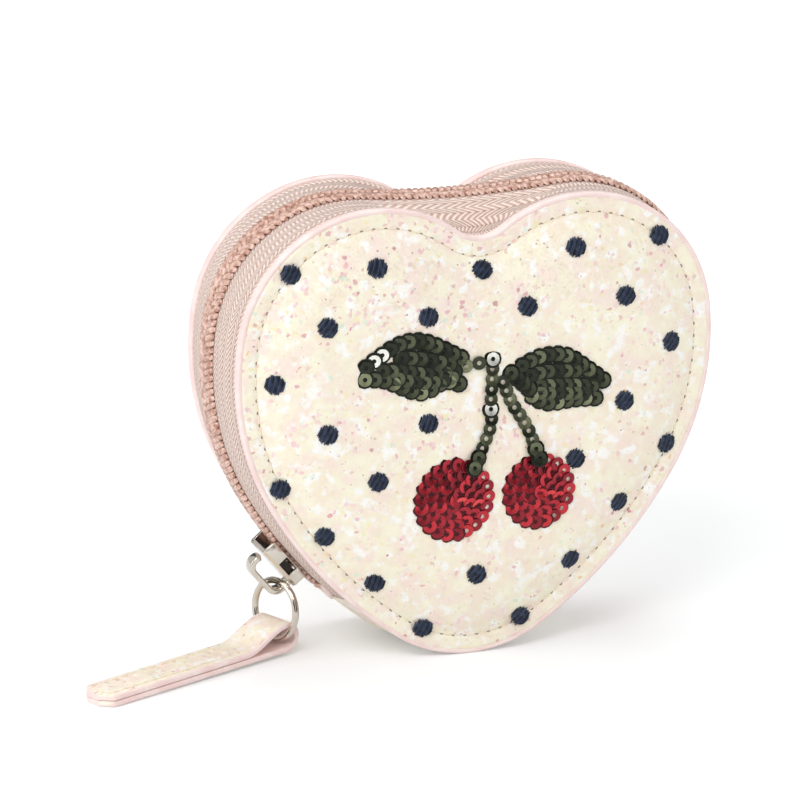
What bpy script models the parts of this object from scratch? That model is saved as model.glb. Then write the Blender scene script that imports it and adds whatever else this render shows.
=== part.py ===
"""A heart-shaped zip coin purse: padded front, flat back, zip round the sides, strap on the slider.

The purse stands on its tip with its face toward -Y. The origin is the middle of the flat back face.
All lengths are in metres. A place on the heart is given by its inset from the painted outline and by
its depth, measured forward from the back face.
"""

import math

import bmesh
import bpy
from mathutils import Matrix, Vector

# Clearance between pieces that touch, and the bend at which a face's edge is left sharp
GAP = 0.0003
SHARP_EDGE = math.radians(35)

# Heart outline, as the outer line of the painted edges, in arcs from the tip to the notch
TIP_RADIUS = 0.028
FLANK_RADIUS = 0.094
SIDE_RADIUS = 0.0555
LOBE_RADIUS = 0.0292
PANEL_NOTCH_RADIUS = 0.008
DOWN = math.radians(-90)
FLANK_START = math.radians(-56)
SIDE_START = math.radians(-31)
LOBE_START = math.radians(7.5)
TIP_STEPS = 4
FLANK_STEPS = 5
SIDE_STEPS = 7
LOBE_STEPS = 11
NOTCH_STEPS = 4
DEPTH = 0.0295

# Painted edge of each panel
PAINT_WIDTH = 0.0010
PAINT_DEPTH = 0.0022
PAINT_ROUND = 0.0004

# Layers of a panel, from its outer face inward
SKIN = 0.0007
BOARD = 0.0008
LINING = 0.0004
CROWN = 0.0032
SEAM_MARGIN = 0.0043
CROWN_WIDTH = 0.0215
CROWN_INSET_SHARES = (0.13, 0.31, 0.54, 1.0)
CROWN_HEIGHT_SHARES = (0.38, 0.72, 0.93, 1.0)

# Zip tape, with the flange that is sewn under each panel
TAPE = 0.0006
FLANGE_REACH = 0.0060
WALL_INSET = 0.0006
CHAIN_BULGE = 0.0009
CHAIN_LOBE_RADIUS = 0.0272
CHAIN_NOTCH_RADIUS = 0.200
WALL_START = 0.0034
WALL_MIDDLE = 0.0070
WALL_BLEND_SHARES = (0.1, 0.6)
WALL_BULGE_SHARE = 0.7

# Zip coils, one on each tape, with the slot between them that the slider's post runs in
POST_SLOT = 0.0014
COIL_WIDTH = 0.0024
COIL_HEIGHT = 0.0019
COIL_ROUND = 0.0005
UNDER_COIL = 0.0006

# Where the zip stops on the flanks, as directions from the flank's centre
ZIP_END = math.radians(-48)
TAIL_END = math.radians(-36)
TAIL_STEPS = 4
SPLIT = 0.0008

# Bottom gusset and the tabs that cover the ends of the chain
GUSSET = 0.0009
GUSSET_INSET = 0.0008
GUSSET_BULGE = 0.0015
GUSSET_BULGE_SHARES = (0, 0.75, 1, 0.75, 0)
GUSSET_STEPS = 3
END_TAB = 0.0008
END_TAB_WIDTH = 0.0090
END_TAB_ON_TAPE = 0.0022
END_TAB_ON_GUSSET = 0.0026
COIL_SHORTFALL = 0.0026

# Slider
SLIDER_TURN = math.radians(-40.6)
SLIDER_LENGTH = 0.0106
SLIDER_WIDTH = 0.0086
SLIDER_PLATE = 0.0010
SLIDER_FLANGE = 0.0008
SLIDER_PLAY = 0.0007
SLIDER_CHAMFER = 0.0006
FLOOR_LENGTH = 0.0090
FLOOR_WIDTH = 0.0066
POST_THICKNESS = 0.0007
POST_LENGTH = 0.0022
POST_SETBACK = 0.0008
TRACK_RADIUS = 0.076

# Open hook on the slider that the ring hangs in
HOOK_BAND = 0.0012
HOOK_WIDTH = 0.0030
HOOK_OPENING = 0.0033
HOOK_FOOT_SETBACK = 0.0002
HOOK_FOOT_BEND = 0.0020
HOOK_TIP_BEND = 0.0019
HOOK_RUN = 0.0049
HOOK_TIP_TURN = math.radians(-38)
HOOK_STEPS = 5

# Ring, hung in the hook
RING_RADIUS = 0.0060
RING_WIRE = 0.0007
RING_SEGMENTS = 28
RING_SIDES = 8
RING_SEAT = 0.0013
PULL_YAW = math.radians(22.5)
RING_LEAN = math.radians(5)
RING_ROLL = math.radians(6)

# Strap folded through the ring
STRAP = 0.0012
STRAP_WIDTH = 0.0088
STRAP_LENGTH = 0.0520
LOOP_RADIUS = 0.0020
LOOP_RISE = 0.0010
LOOP_TAPER = 0.0160
LOOP_STEPS = 9
TAPER_STEPS = 6

# Embroidered dots
DOT_RADIUS = 0.0021
DOT_HEIGHT = 0.0005
DOT_SIDES = 10
DOT_COLUMN_PITCH = 0.01075
DOT_ROW_PITCH = 0.01112
DOT_TURN = math.radians(1.1)
DOT_TOP_DROP = 0.0108
DOT_SHIFT = 0.0017
NOTCH_DOT_DROP = 0.0029
DOT_MARGIN = 0.0037
DOT_PULL = 0.0040
DOT_ROWS = 8
DOT_COLUMNS = 5

# Sequin motif, with its places as shares of the motif's width, from the middle of the panel's width
MOTIF_WIDTH = 0.0550
MOTIF_BASE = 0.0255
SEQUIN_RADIUS = 0.0014
SEQUIN_LIFT = 0.0007
CHERRY_LIFT = 0.0010
SCALLOP = 0.0005
CHERRY_SCALLOPS = 18
LEAF_SCALLOPS = 8
SCALLOP_POINTS = 4
LEAF_POWER = 0.7
CHERRY_SHARES = {"cherry_left": (-0.100, 0.162, 0.158), "cherry_right": (0.228, 0.155, 0.144)}
LEAF_SHARES = {
    "leaf_left": ((-0.492, 0.662), (-0.055, 0.668), 0.135, 0.108),
    "leaf_right": ((0.128, 0.634), (0.510, 0.588), 0.090, 0.118),
}
STEM_SHARES = {
    "stem_left": (
        (-0.016, 0.680), (0.032, 0.692), (0.045, 0.650), (0.042, 0.607), (0.040, 0.563), (0.043, 0.519),
        (0.040, 0.475), (0.030, 0.434), (0.014, 0.394), (-0.004, 0.358),
    ),
    "stem_right": (
        (0.103, 0.592), (0.112, 0.550), (0.128, 0.510), (0.146, 0.470), (0.170, 0.434), (0.195, 0.400),
        (0.212, 0.364),
    ),
}
STEM_POINTS_PER_SEQUIN = 4

# Colours and finishes: name, red, green, blue, roughness, metallic
IVORY = ("ivory_glitter", 0.93, 0.86, 0.73, 0.35, 0.0)
BLUSH = ("blush_edge_paint", 0.93, 0.70, 0.68, 0.45, 0.0)
ROSE = ("rose_tape", 0.80, 0.54, 0.47, 0.85, 0.0)
COPPER = ("rose_nylon_coil", 0.68, 0.38, 0.31, 0.40, 0.0)
GREYBOARD = ("grey_board", 0.45, 0.42, 0.38, 0.90, 0.0)
FOAM = ("white_foam", 0.85, 0.84, 0.80, 0.95, 0.0)
SATEEN = ("cream_lining", 0.78, 0.70, 0.62, 0.80, 0.0)
NICKEL = ("polished_nickel", 0.78, 0.76, 0.72, 0.18, 1.0)
NAVY = ("navy_thread", 0.015, 0.022, 0.050, 0.60, 0.0)
CHERRY = ("red_sequin", 0.45, 0.030, 0.045, 0.25, 0.8)
OLIVE = ("olive_sequin", 0.060, 0.068, 0.040, 0.25, 0.8)


def toward(angle):
    """The unit direction at ANGLE in the plane of the heart."""
    return Vector((math.cos(angle), math.sin(angle)))


def half_arcs(lobe_radius, notch_radius):
    """The right half's arcs, tip to notch: centre, radius, first and last angle, bend and steps."""
    tip = Vector((0, TIP_RADIUS))
    flank = tip + toward(FLANK_START) * (TIP_RADIUS - FLANK_RADIUS)
    side = flank + toward(SIDE_START) * (FLANK_RADIUS - SIDE_RADIUS)
    lobe = side + toward(LOBE_START) * (SIDE_RADIUS - lobe_radius)
    reach = lobe_radius + notch_radius
    notch = Vector((0, lobe.y + math.sqrt(reach**2 - lobe.x**2)))
    crest = math.atan2(notch.y - lobe.y, notch.x - lobe.x)
    return (
        (tip, TIP_RADIUS, DOWN, FLANK_START, 1, TIP_STEPS),
        (flank, FLANK_RADIUS, FLANK_START, SIDE_START, 1, FLANK_STEPS),
        (side, SIDE_RADIUS, SIDE_START, LOBE_START, 1, SIDE_STEPS),
        (lobe, lobe_radius, LOBE_START, crest, 1, LOBE_STEPS),
        (notch, notch_radius, crest - math.pi, DOWN, -1, NOTCH_STEPS),
    )


PANEL_ARCS = half_arcs(LOBE_RADIUS, PANEL_NOTCH_RADIUS)
CHAIN_ARCS = half_arcs(CHAIN_LOBE_RADIUS, CHAIN_NOTCH_RADIUS)
TIP = (0, DOWN)
NOTCH = (4, DOWN)
FLANK_CENTRE = PANEL_ARCS[1][0]
LOBE_CENTRE = PANEL_ARCS[3][0]
HEART_TOP = LOBE_CENTRE.y + LOBE_RADIUS
ORIGIN_HEIGHT = HEART_TOP / 2
MID_DEPTH = DEPTH / 2


def on_flank(angle):
    """A place on the flank, as an arc's number and an angle."""
    return (1, angle)


def along_flank(length):
    """The angle that LENGTH spans on the flank."""
    return length / FLANK_RADIUS


def half_line(arcs, inset, start, stop, flank_steps=None):
    """Points of the right half at INSET, from the place START up to the place STOP."""
    points = []
    for number in range(start[0], stop[0] + 1):
        centre, radius, first, last, bend, steps = arcs[number]
        first = start[1] if number == start[0] else first
        last = stop[1] if number == stop[0] else last
        steps = flank_steps if flank_steps and number == 1 else steps
        for step in range(1 if points else 0, steps + 1):
            angle = first + (last - first) * step / steps
            points.append(centre + toward(angle) * (radius - bend * inset))
    return points


def mirrored(points):
    """The left half's points for the right half's."""
    return [Vector((-point.x, point.y)) for point in points]


def whole_line(inset):
    """The closed outline at INSET, round from the tip."""
    right = half_line(PANEL_ARCS, inset, TIP, NOTCH)
    return right + mirrored(right)[-2:0:-1]


def over_top(arcs, inset, start):
    """Points from START on the left flank, up over both lobes, to START on the right flank."""
    right = half_line(arcs, inset, start, NOTCH)
    return mirrored(right) + right[-2::-1]


def round_tip(inset, end):
    """Points from the place END on the left flank, round the tip, to END on the right flank."""
    right = half_line(PANEL_ARCS, inset, TIP, end, GUSSET_STEPS)
    return mirrored(right)[::-1] + right[1:]


def tail_line(side, start):
    """A line builder for the short run of zip from START to the slider on the SIDE -1 or 1."""

    def line(arcs, inset):
        right = half_line(arcs, inset, on_flank(start), on_flank(TAIL_END), TAIL_STEPS)
        return mirrored(right) if side < 0 else right

    return line


def main_line(start):
    """A line builder for the long run of zip over the top, from START on each flank."""

    def line(arcs, inset):
        return over_top(arcs, inset, on_flank(start))

    return line


def world(point, depth):
    """The place in space of a POINT of the heart at DEPTH in front of the back face."""
    return Vector((point.x, -depth, point.y - ORIGIN_HEIGHT))


def from_face(front, distance):
    """The depth at DISTANCE in from the front edge plane, or from the back face."""
    return DEPTH - distance if front else distance


def material(look):
    """The Principled material for a LOOK, made once."""
    name, red, green, blue, roughness, metallic = look
    made = bpy.data.materials.get(name)
    if made is None:
        made = bpy.data.materials.new(name)
        made.use_nodes = True
        shader = made.node_tree.nodes["Principled BSDF"]
        shader.inputs["Base Color"].default_value = (red, green, blue, 1)
        shader.inputs["Roughness"].default_value = roughness
        shader.inputs["Metallic"].default_value = metallic
        made.diffuse_color = (red, green, blue, 1)
    return made


def add_object(name, bm, look, parent=None, matrix=None):
    """An object NAME that holds the mesh BM, with its faces turned outward."""
    bmesh.ops.recalc_face_normals(bm, faces=bm.faces)
    mesh = bpy.data.meshes.new(name)
    bm.to_mesh(mesh)
    bm.free()
    mesh.shade_smooth()
    mesh.set_sharp_from_angle(angle=SHARP_EDGE)
    mesh.materials.append(material(look))
    made = bpy.data.objects.new(name, mesh)
    bpy.context.scene.collection.objects.link(made)
    if parent is not None:
        made.parent = parent
    if matrix is not None:
        made.matrix_local = matrix
    return made


def stack(name, loops, look, hoop=False, parent=None, matrix=None):
    """A closed solid through closed LOOPS of points, capped at both ends, or joined as a HOOP."""
    bm = bmesh.new()
    rows = [[bm.verts.new(point) for point in loop] for loop in loops]
    count = len(rows[0])
    pairs = list(zip(rows, rows[1:]))
    if hoop:
        pairs.append((rows[-1], rows[0]))
    for lower, upper in pairs:
        for index in range(count):
            after = (index + 1) % count
            bm.faces.new((lower[index], lower[after], upper[after], upper[index]))
    if not hoop:
        bm.faces.new(rows[0][::-1])
        bm.faces.new(rows[-1])
    return add_object(name, bm, look, parent, matrix)


def pivot(name, matrix):
    """An empty on a joint's axis, for the moving pieces that turn about it."""
    empty = bpy.data.objects.new(name, None)
    empty.empty_display_size = RING_RADIUS
    bpy.context.scene.collection.objects.link(empty)
    empty.matrix_world = matrix
    return empty


def crown_profile():
    """The front skin's rise over its edge plane, as pairs of inset and height."""
    rise = [(0, 0), (SEAM_MARGIN, 0)]
    for inset_share, height_share in zip(CROWN_INSET_SHARES, CROWN_HEIGHT_SHARES):
        rise.append((SEAM_MARGIN + CROWN_WIDTH * inset_share, CROWN * height_share))
    return rise


def crown_height(inset):
    """The rise of the front skin at INSET."""
    rise = crown_profile()
    for (inset_a, height_a), (inset_b, height_b) in zip(rise, rise[1:]):
        if inset <= inset_b:
            return height_a + (height_b - height_a) * (inset - inset_a) / (inset_b - inset_a)
    return rise[-1][1]


def nearest_edge(point):
    """How far POINT lies inside the outline, and the direction straight in from the edge there."""
    flip = math.copysign(1, point.x)
    place = Vector((point.x * flip, point.y))
    found = []
    for centre, radius, first, last, bend, _ in PANEL_ARCS:
        away = place - centre
        angle = math.atan2(away.y, away.x)
        if first <= angle <= last or last <= angle <= first:
            found.append((bend * (radius - away.length), away.normalized() * -bend))
    inset, inward = min(found, key=lambda pair: pair[0])
    return inset, Vector((inward.x * flip, inward.y))


def inset_of(point):
    """How far POINT lies inside the outline."""
    return nearest_edge(point)[0]


def panel_plate(name, front, start_inset, near, far, look):
    """A flat layer of a panel, from START_INSET inward, between two distances from its face."""
    line = whole_line(start_inset)
    return stack(name, [[world(p, from_face(front, distance)) for p in line] for distance in (near, far)], look)


def build_front_skin():
    """The glitter skin of the front, flat at the seam and crowned inside it."""
    edge = PAINT_WIDTH + GAP
    rows = [(edge, 0)] + crown_profile()[1:]
    outer = [[world(p, DEPTH + height) for p in whole_line(inset)] for inset, height in rows]
    inner = [[world(p, DEPTH + height - SKIN) for p in whole_line(inset)] for inset, height in rows]
    stack("front_panel", outer[::-1] + inner, IVORY)


def build_front_padding():
    """The thin foam between the front board and the skin, which gives the crown."""
    start = FLANGE_REACH + GAP
    rise = [(start, crown_height(start))] + [row for row in crown_profile() if row[0] > start]
    top = [[world(p, DEPTH + height - SKIN - GAP) for p in whole_line(inset)] for inset, height in rise]
    base = [world(p, DEPTH - SKIN) for p in whole_line(start)]
    stack("front_padding", [base] + top, FOAM)


def build_edge_paint(name, front):
    """The painted bead round the cut edge of a panel."""
    section = (
        (PAINT_WIDTH, 0),
        (PAINT_ROUND, 0),
        (0, PAINT_ROUND),
        (0, PAINT_DEPTH - PAINT_ROUND),
        (PAINT_ROUND, PAINT_DEPTH),
        (PAINT_WIDTH, PAINT_DEPTH),
    )
    lines = [(whole_line(inset), from_face(front, distance)) for inset, distance in section]
    loops = [[world(line[i], depth) for line, depth in lines] for i in range(len(lines[0][0]))]
    stack(name, loops, BLUSH, hoop=True)


def tape_profile():
    """One tape from its flange to the slot: inset, distance from the face and share of the chain's line."""
    flange = SKIN + GAP
    edge = PAINT_WIDTH + GAP
    turn = PAINT_DEPTH + GAP
    slot = MID_DEPTH - POST_SLOT / 2
    shelf = slot - COIL_WIDTH - UNDER_COIL
    bulge = CHAIN_BULGE * WALL_BULGE_SHARE
    low_blend, high_blend = WALL_BLEND_SHARES
    outer = (
        (FLANGE_REACH, flange, 0),
        (edge, flange, 0),
        (edge, turn, 0),
        (WALL_INSET, WALL_START, low_blend),
        (-bulge, WALL_MIDDLE, high_blend),
        (-CHAIN_BULGE, shelf, 1),
        (-CHAIN_BULGE, slot, 1),
    )
    inner = (
        (TAPE - CHAIN_BULGE, slot, 1),
        (TAPE - CHAIN_BULGE, shelf, 1),
        (TAPE - bulge, WALL_MIDDLE, high_blend),
        (TAPE + WALL_INSET, WALL_START + GAP, low_blend),
        (TAPE + edge, turn + GAP, 0),
        (TAPE + edge, flange + TAPE, 0),
        (FLANGE_REACH, flange + TAPE, 0),
    )
    return outer + inner


def build_tape(name, front, line):
    """A run of zip tape along LINE, with its flange under the panel."""
    lines = []
    for inset, distance, blend in tape_profile():
        at_panel = line(PANEL_ARCS, inset)
        at_chain = line(CHAIN_ARCS, inset)
        mixed = [a.lerp(b, blend) for a, b in zip(at_panel, at_chain)]
        lines.append([world(p, from_face(front, distance)) for p in mixed])
    stack(name, list(zip(*lines)), ROSE)


def build_coil(name, front, line):
    """A run of nylon coil along LINE, as a bar with rounded corners on top of the tape."""
    foot = CHAIN_BULGE + GAP
    head = foot + COIL_HEIGHT
    near = MID_DEPTH - POST_SLOT / 2
    far = near - COIL_WIDTH
    section = (
        (foot, near),
        (head - COIL_ROUND, near),
        (head, near - COIL_ROUND),
        (head, far + COIL_ROUND),
        (head - COIL_ROUND, far),
        (foot, far),
    )
    lines = [[world(p, from_face(front, distance)) for p in line(CHAIN_ARCS, -rise)] for rise, distance in section]
    stack(name, list(zip(*lines)), COPPER)


def build_zip():
    """Both tapes and coils. The runs below the slider's upper end stay with the back half."""
    split = along_flank(SPLIT)
    coil_end = ZIP_END + along_flank(COIL_SHORTFALL)
    build_tape("zip_tape_back", False, main_line(ZIP_END))
    build_tape("zip_tape_front", True, main_line(TAIL_END + split))
    build_coil("zip_coil_back", False, main_line(coil_end))
    build_coil("zip_coil_front", True, main_line(TAIL_END + split))
    for word, side in (("left", -1), ("right", 1)):
        build_tape("zip_tape_tail_" + word, True, tail_line(side, ZIP_END))
        build_coil("zip_coil_tail_" + word, True, tail_line(side, coil_end))


def gusset_wall(inset, near, far, end):
    """Lines round the tip from NEAR to FAR, let out in the middle on the flanks but not at the tip itself."""
    foot = TIP_RADIUS * math.cos(FLANK_START)
    lines = []
    for number, share in enumerate(GUSSET_BULGE_SHARES):
        distance = near + (far - near) * number / (len(GUSSET_BULGE_SHARES) - 1)
        pairs = zip(round_tip(inset, end), round_tip(inset - GUSSET_INSET - GUSSET_BULGE, end))
        lines.append([world(a.lerp(b, share * min(abs(a.x) / foot, 1)), distance) for a, b in pairs])
    return lines


def build_gusset():
    """The plain strip round the tip, sewn to the back panel, and its lining."""
    end = on_flank(ZIP_END - along_flank(GAP))
    flange = SKIN + GAP
    edge = PAINT_WIDTH + GAP
    turn = PAINT_DEPTH + GAP
    lip = DEPTH - SKIN - GAP - BOARD - GAP - LINING - GAP
    start = ((FLANGE_REACH, flange), (edge, flange), (edge, turn))
    finish = ((TAPE + edge, turn + GAP), (TAPE + edge, flange + TAPE), (FLANGE_REACH, flange + TAPE))
    lines = [[world(p, distance) for p in round_tip(inset, end)] for inset, distance in start]
    lines += gusset_wall(GUSSET_INSET, WALL_START, lip, end)
    lines += gusset_wall(GUSSET_INSET + GUSSET, WALL_START + GAP, lip, end)[::-1]
    lines += [[world(p, distance) for p in round_tip(inset, end)] for inset, distance in finish]
    stack("bottom_gusset", list(zip(*lines)), IVORY)
    top = GUSSET_INSET + GUSSET + GAP
    lines = gusset_wall(top, WALL_START, lip, end) + gusset_wall(top + LINING, WALL_START, lip, end)[::-1]
    stack("bottom_gusset_lining", list(zip(*lines)), SATEEN)


def build_end_tab(name, side):
    """The patch sewn over the end of the chain, from the tape down onto the gusset."""
    on_tape = CHAIN_BULGE + GAP
    on_gusset = GUSSET_BULGE + GAP
    places = (
        (ZIP_END + along_flank(END_TAB_ON_TAPE), on_tape),
        (ZIP_END, on_gusset),
        (ZIP_END - along_flank(END_TAB_ON_GUSSET), on_gusset),
    )
    near = MID_DEPTH - END_TAB_WIDTH / 2
    far = MID_DEPTH + END_TAB_WIDTH / 2
    loops = []
    for angle, rise in places:
        feet = FLANK_CENTRE + toward(angle) * (FLANK_RADIUS + rise)
        head = FLANK_CENTRE + toward(angle) * (FLANK_RADIUS + rise + END_TAB)
        for point in (feet, head):
            point.x = point.x * side
        loops.append([world(feet, near), world(feet, far), world(head, far), world(head, near)])
    stack(name, loops, ROSE)


def slider_frame():
    """The slider's frame on the left flank: X up along the chain, Y back, Z out from the tape's face."""
    out = toward(SLIDER_TURN)
    place = FLANK_CENTRE + out * (FLANK_RADIUS + CHAIN_BULGE)
    normal = Vector((-out.x, 0, out.y))
    up = Vector((out.y, 0, out.x))
    frame = Matrix((up, (0, 1, 0), normal)).transposed().to_4x4()
    frame.translation = world(Vector((-place.x, place.y)), MID_DEPTH)
    return frame


def band_outline(centre_line, thickness):
    """The outline of a band of THICKNESS along an open CENTRE_LINE of points in a plane."""
    near = []
    far = []
    last = len(centre_line) - 1
    for index, point in enumerate(centre_line):
        before = centre_line[max(index - 1, 0)]
        after = centre_line[min(index + 1, last)]
        along = (after - before).normalized()
        across = Vector((-along.y, along.x)) * thickness / 2
        near.append(point + across)
        far.append(point - across)
    return near + far[::-1]


def arc_points(centre, radius, first, last, steps):
    """Points along an arc."""
    return [centre + toward(first + (last - first) * step / steps) * radius for step in range(steps + 1)]


def side_prism(name, outline, width, look, parent, matrix=None):
    """A plate with its OUTLINE in X and Z, centred on Y = 0 with WIDTH in Y."""
    loops = [[Vector((x, y, z)) for x, z in outline] for y in (-width / 2, width / 2)]
    return stack(name, loops, look, parent=parent, matrix=matrix)


def join_to(target, tool):
    """Unite TOOL with TARGET in an exact Boolean, and keep TOOL as a hidden guide."""
    union = target.modifiers.new(tool.name, "BOOLEAN")
    union.operation = "UNION"
    union.object = tool
    tool.hide_render = True
    tool.display_type = "WIRE"


def hook_line():
    """The middle line of the hook's band, from its foot at the slider's lower end to its free tip."""
    deck = deck_height()
    foot_x = -SLIDER_LENGTH / 2 + HOOK_FOOT_SETBACK
    ridge = deck + HOOK_OPENING + HOOK_BAND / 2
    foot_bend = Vector((foot_x + HOOK_FOOT_BEND, ridge - HOOK_FOOT_BEND))
    tip_bend = Vector((foot_bend.x + HOOK_RUN, ridge - HOOK_TIP_BEND))
    quarter = math.pi / 2
    return (
        [Vector((foot_x, deck - SLIDER_PLATE / 2))]
        + arc_points(foot_bend, HOOK_FOOT_BEND, math.pi, quarter, HOOK_STEPS)
        + arc_points(tip_bend, HOOK_TIP_BEND, quarter, HOOK_TIP_TURN, HOOK_STEPS)
    )


def roof_height():
    """The height of the underside of the slider's top plate over the tape's face."""
    return GAP + COIL_HEIGHT + SLIDER_PLAY


def deck_height():
    """The height of the slider's upper face over the tape's face."""
    return roof_height() + SLIDER_PLATE


def slider_pivot_frame():
    """The slider's turning centre: one circle that follows the chain up the flank and side."""
    frame = slider_frame()
    centre = frame.translation - frame.to_3x3() @ Vector((0, 0, TRACK_RADIUS))
    return Matrix.Translation(centre)


def build_slider():
    """The slider: a channelled top plate, a post through the slot, a floor under the tapes and a hook."""
    track = pivot("slider_track", slider_pivot_frame())
    local = slider_pivot_frame().inverted() @ slider_frame()
    roof = roof_height()
    deck = deck_height()
    half = SLIDER_WIDTH / 2
    skirt = SLIDER_PLAY
    wall = half - SLIDER_FLANGE
    section = (
        (-half, skirt), (-wall, skirt), (-wall, roof), (wall, roof), (wall, skirt), (half, skirt),
        (half, deck - SLIDER_CHAMFER), (half - SLIDER_CHAMFER, deck),
        (SLIDER_CHAMFER - half, deck), (-half, deck - SLIDER_CHAMFER),
    )
    ends = (-SLIDER_LENGTH / 2, SLIDER_LENGTH / 2)
    loops = [[Vector((x, y, z)) for y, z in section] for x in ends]
    body = stack("slider_body", loops, NICKEL, parent=track, matrix=local)
    low = -TAPE - SLIDER_PLAY
    floor_outline = (
        (-FLOOR_LENGTH / 2, low - SLIDER_PLATE),
        (FLOOR_LENGTH / 2, low - SLIDER_PLATE),
        (FLOOR_LENGTH / 2, low),
        (-FLOOR_LENGTH / 2, low),
    )
    floor = side_prism("slider_floor_guide", floor_outline, FLOOR_WIDTH, NICKEL, track, local)
    post_end = -FLOOR_LENGTH / 2 + POST_SETBACK
    post_outline = (
        (post_end, low - SLIDER_PLATE / 2),
        (post_end + POST_LENGTH, low - SLIDER_PLATE / 2),
        (post_end + POST_LENGTH, deck - SLIDER_PLATE / 2),
        (post_end, deck - SLIDER_PLATE / 2),
    )
    post = side_prism("slider_post_guide", post_outline, POST_THICKNESS, NICKEL, track, local)
    hook_outline = band_outline(hook_line(), HOOK_BAND)
    hook = side_prism("slider_hook_guide", hook_outline, HOOK_WIDTH, NICKEL, track, local)
    for tool in (post, floor, hook):
        join_to(body, tool)


def ring_frames():
    """The ring's frame at its seat in the hook, and the strap's frame at the ring's low side."""
    foot_x = -SLIDER_LENGTH / 2 + HOOK_FOOT_SETBACK + HOOK_BAND / 2
    seat = slider_frame() @ Vector((foot_x + RING_SEAT, 0, deck_height() + HOOK_OPENING / 2))
    away = Vector((-math.cos(PULL_YAW), -math.sin(PULL_YAW), 0))
    width = Vector((math.sin(PULL_YAW), -math.cos(PULL_YAW), 0))
    up = Vector((0, 0, math.cos(RING_LEAN))) - away * math.sin(RING_LEAN)
    radial = up * math.cos(RING_ROLL) - width * math.sin(RING_ROLL)
    tangent = width * math.cos(RING_ROLL) + up * math.sin(RING_ROLL)
    ring = Matrix((tangent.cross(radial), tangent, radial)).transposed().to_4x4()
    ring.translation = seat
    knot = seat - radial * RING_RADIUS - up * (RING_RADIUS - LOOP_RISE)
    corner = Vector((STRAP_LENGTH - LOOP_RADIUS - STRAP, LOOP_RADIUS + STRAP))
    pitch = math.asin((knot.z + ORIGIN_HEIGHT) / corner.length) - math.atan2(corner.y, corner.x)
    along = away * math.cos(pitch) - Vector((0, 0, math.sin(pitch)))
    strap = Matrix((along, width, along.cross(width))).transposed().to_4x4()
    strap.translation = knot
    return ring, strap


def build_ring(parent):
    """The round wire ring, hung from its pivot at the hook."""
    loops = []
    for segment in range(RING_SEGMENTS):
        turn = math.tau * segment / RING_SEGMENTS
        radial = Vector((0, math.sin(turn), math.cos(turn)))
        centre = radial * RING_RADIUS - Vector((0, 0, RING_RADIUS))
        loop = []
        for side in range(RING_SIDES):
            angle = math.tau * side / RING_SIDES
            across = Vector((math.sin(angle), 0, 0)) * RING_WIRE
            loop.append(centre + radial * math.cos(angle) * RING_WIRE + across)
        loops.append(loop)
    stack("pull_ring", loops, NICKEL, hoop=True, parent=parent)


def strap_line():
    """The strap's middle line: in on the straight lower layer, round the ring, out on the upper layer."""
    middle = LOOP_RADIUS + STRAP / 2
    drop = middle * 2 - STRAP - GAP
    run = STRAP_LENGTH - LOOP_RADIUS - STRAP
    line = [Vector((run, -middle)), Vector((LOOP_TAPER, -middle))]
    line += arc_points(Vector((0, 0)), middle, DOWN, DOWN - math.pi, LOOP_STEPS)
    for step in range(1, TAPER_STEPS + 1):
        share = step / TAPER_STEPS
        ease = share * share * (3 - 2 * share)
        line.append(Vector((LOOP_TAPER * share, middle - drop * ease)))
    line.append(Vector((run, middle - drop)))
    return line


def build_strap(parent):
    """The glitter strap, folded through the ring so that its two layers lie face to face."""
    outline = band_outline(strap_line(), STRAP)
    side_prism("pull_tab", outline, STRAP_WIDTH, IVORY, parent)


def build_pull():
    """The ring and the strap, each on its own pivot."""
    ring, strap = ring_frames()
    ring_pivot = pivot("ring_pivot", ring)
    build_ring(ring_pivot)
    strap_pivot = pivot("strap_pivot", strap)
    build_strap(strap_pivot)


def raised_patch(name, outline, centre, lift, look):
    """A patch that follows the crowned skin under its OUTLINE, LIFT thick."""
    bm = bmesh.new()
    count = len(outline)
    base = []
    top = []
    for point in list(outline) + [centre]:
        depth = DEPTH + crown_height(inset_of(point)) + GAP
        base.append(bm.verts.new(world(point, depth)))
        top.append(bm.verts.new(world(point, depth + lift)))
    for index in range(count):
        after = (index + 1) % count
        bm.faces.new((base[index], base[after], top[after], top[index]))
        bm.faces.new((top[index], top[after], top[count]))
        bm.faces.new((base[after], base[index], base[count]))
    add_object(name, bm, look)


def clear_of(point, outline, reach):
    """Whether POINT lies outside the closed OUTLINE, at least REACH from it."""
    inside = False
    for start, end in zip(outline, outline[1:] + outline[:1]):
        along = end - start
        away = point - start
        share = min(max(away.dot(along) / along.length_squared, 0), 1)
        if (away - along * share).length < reach:
            return False
        if (start.y > point.y) != (end.y > point.y):
            inside ^= away.x < along.x * away.y / along.y
    return not inside


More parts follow.
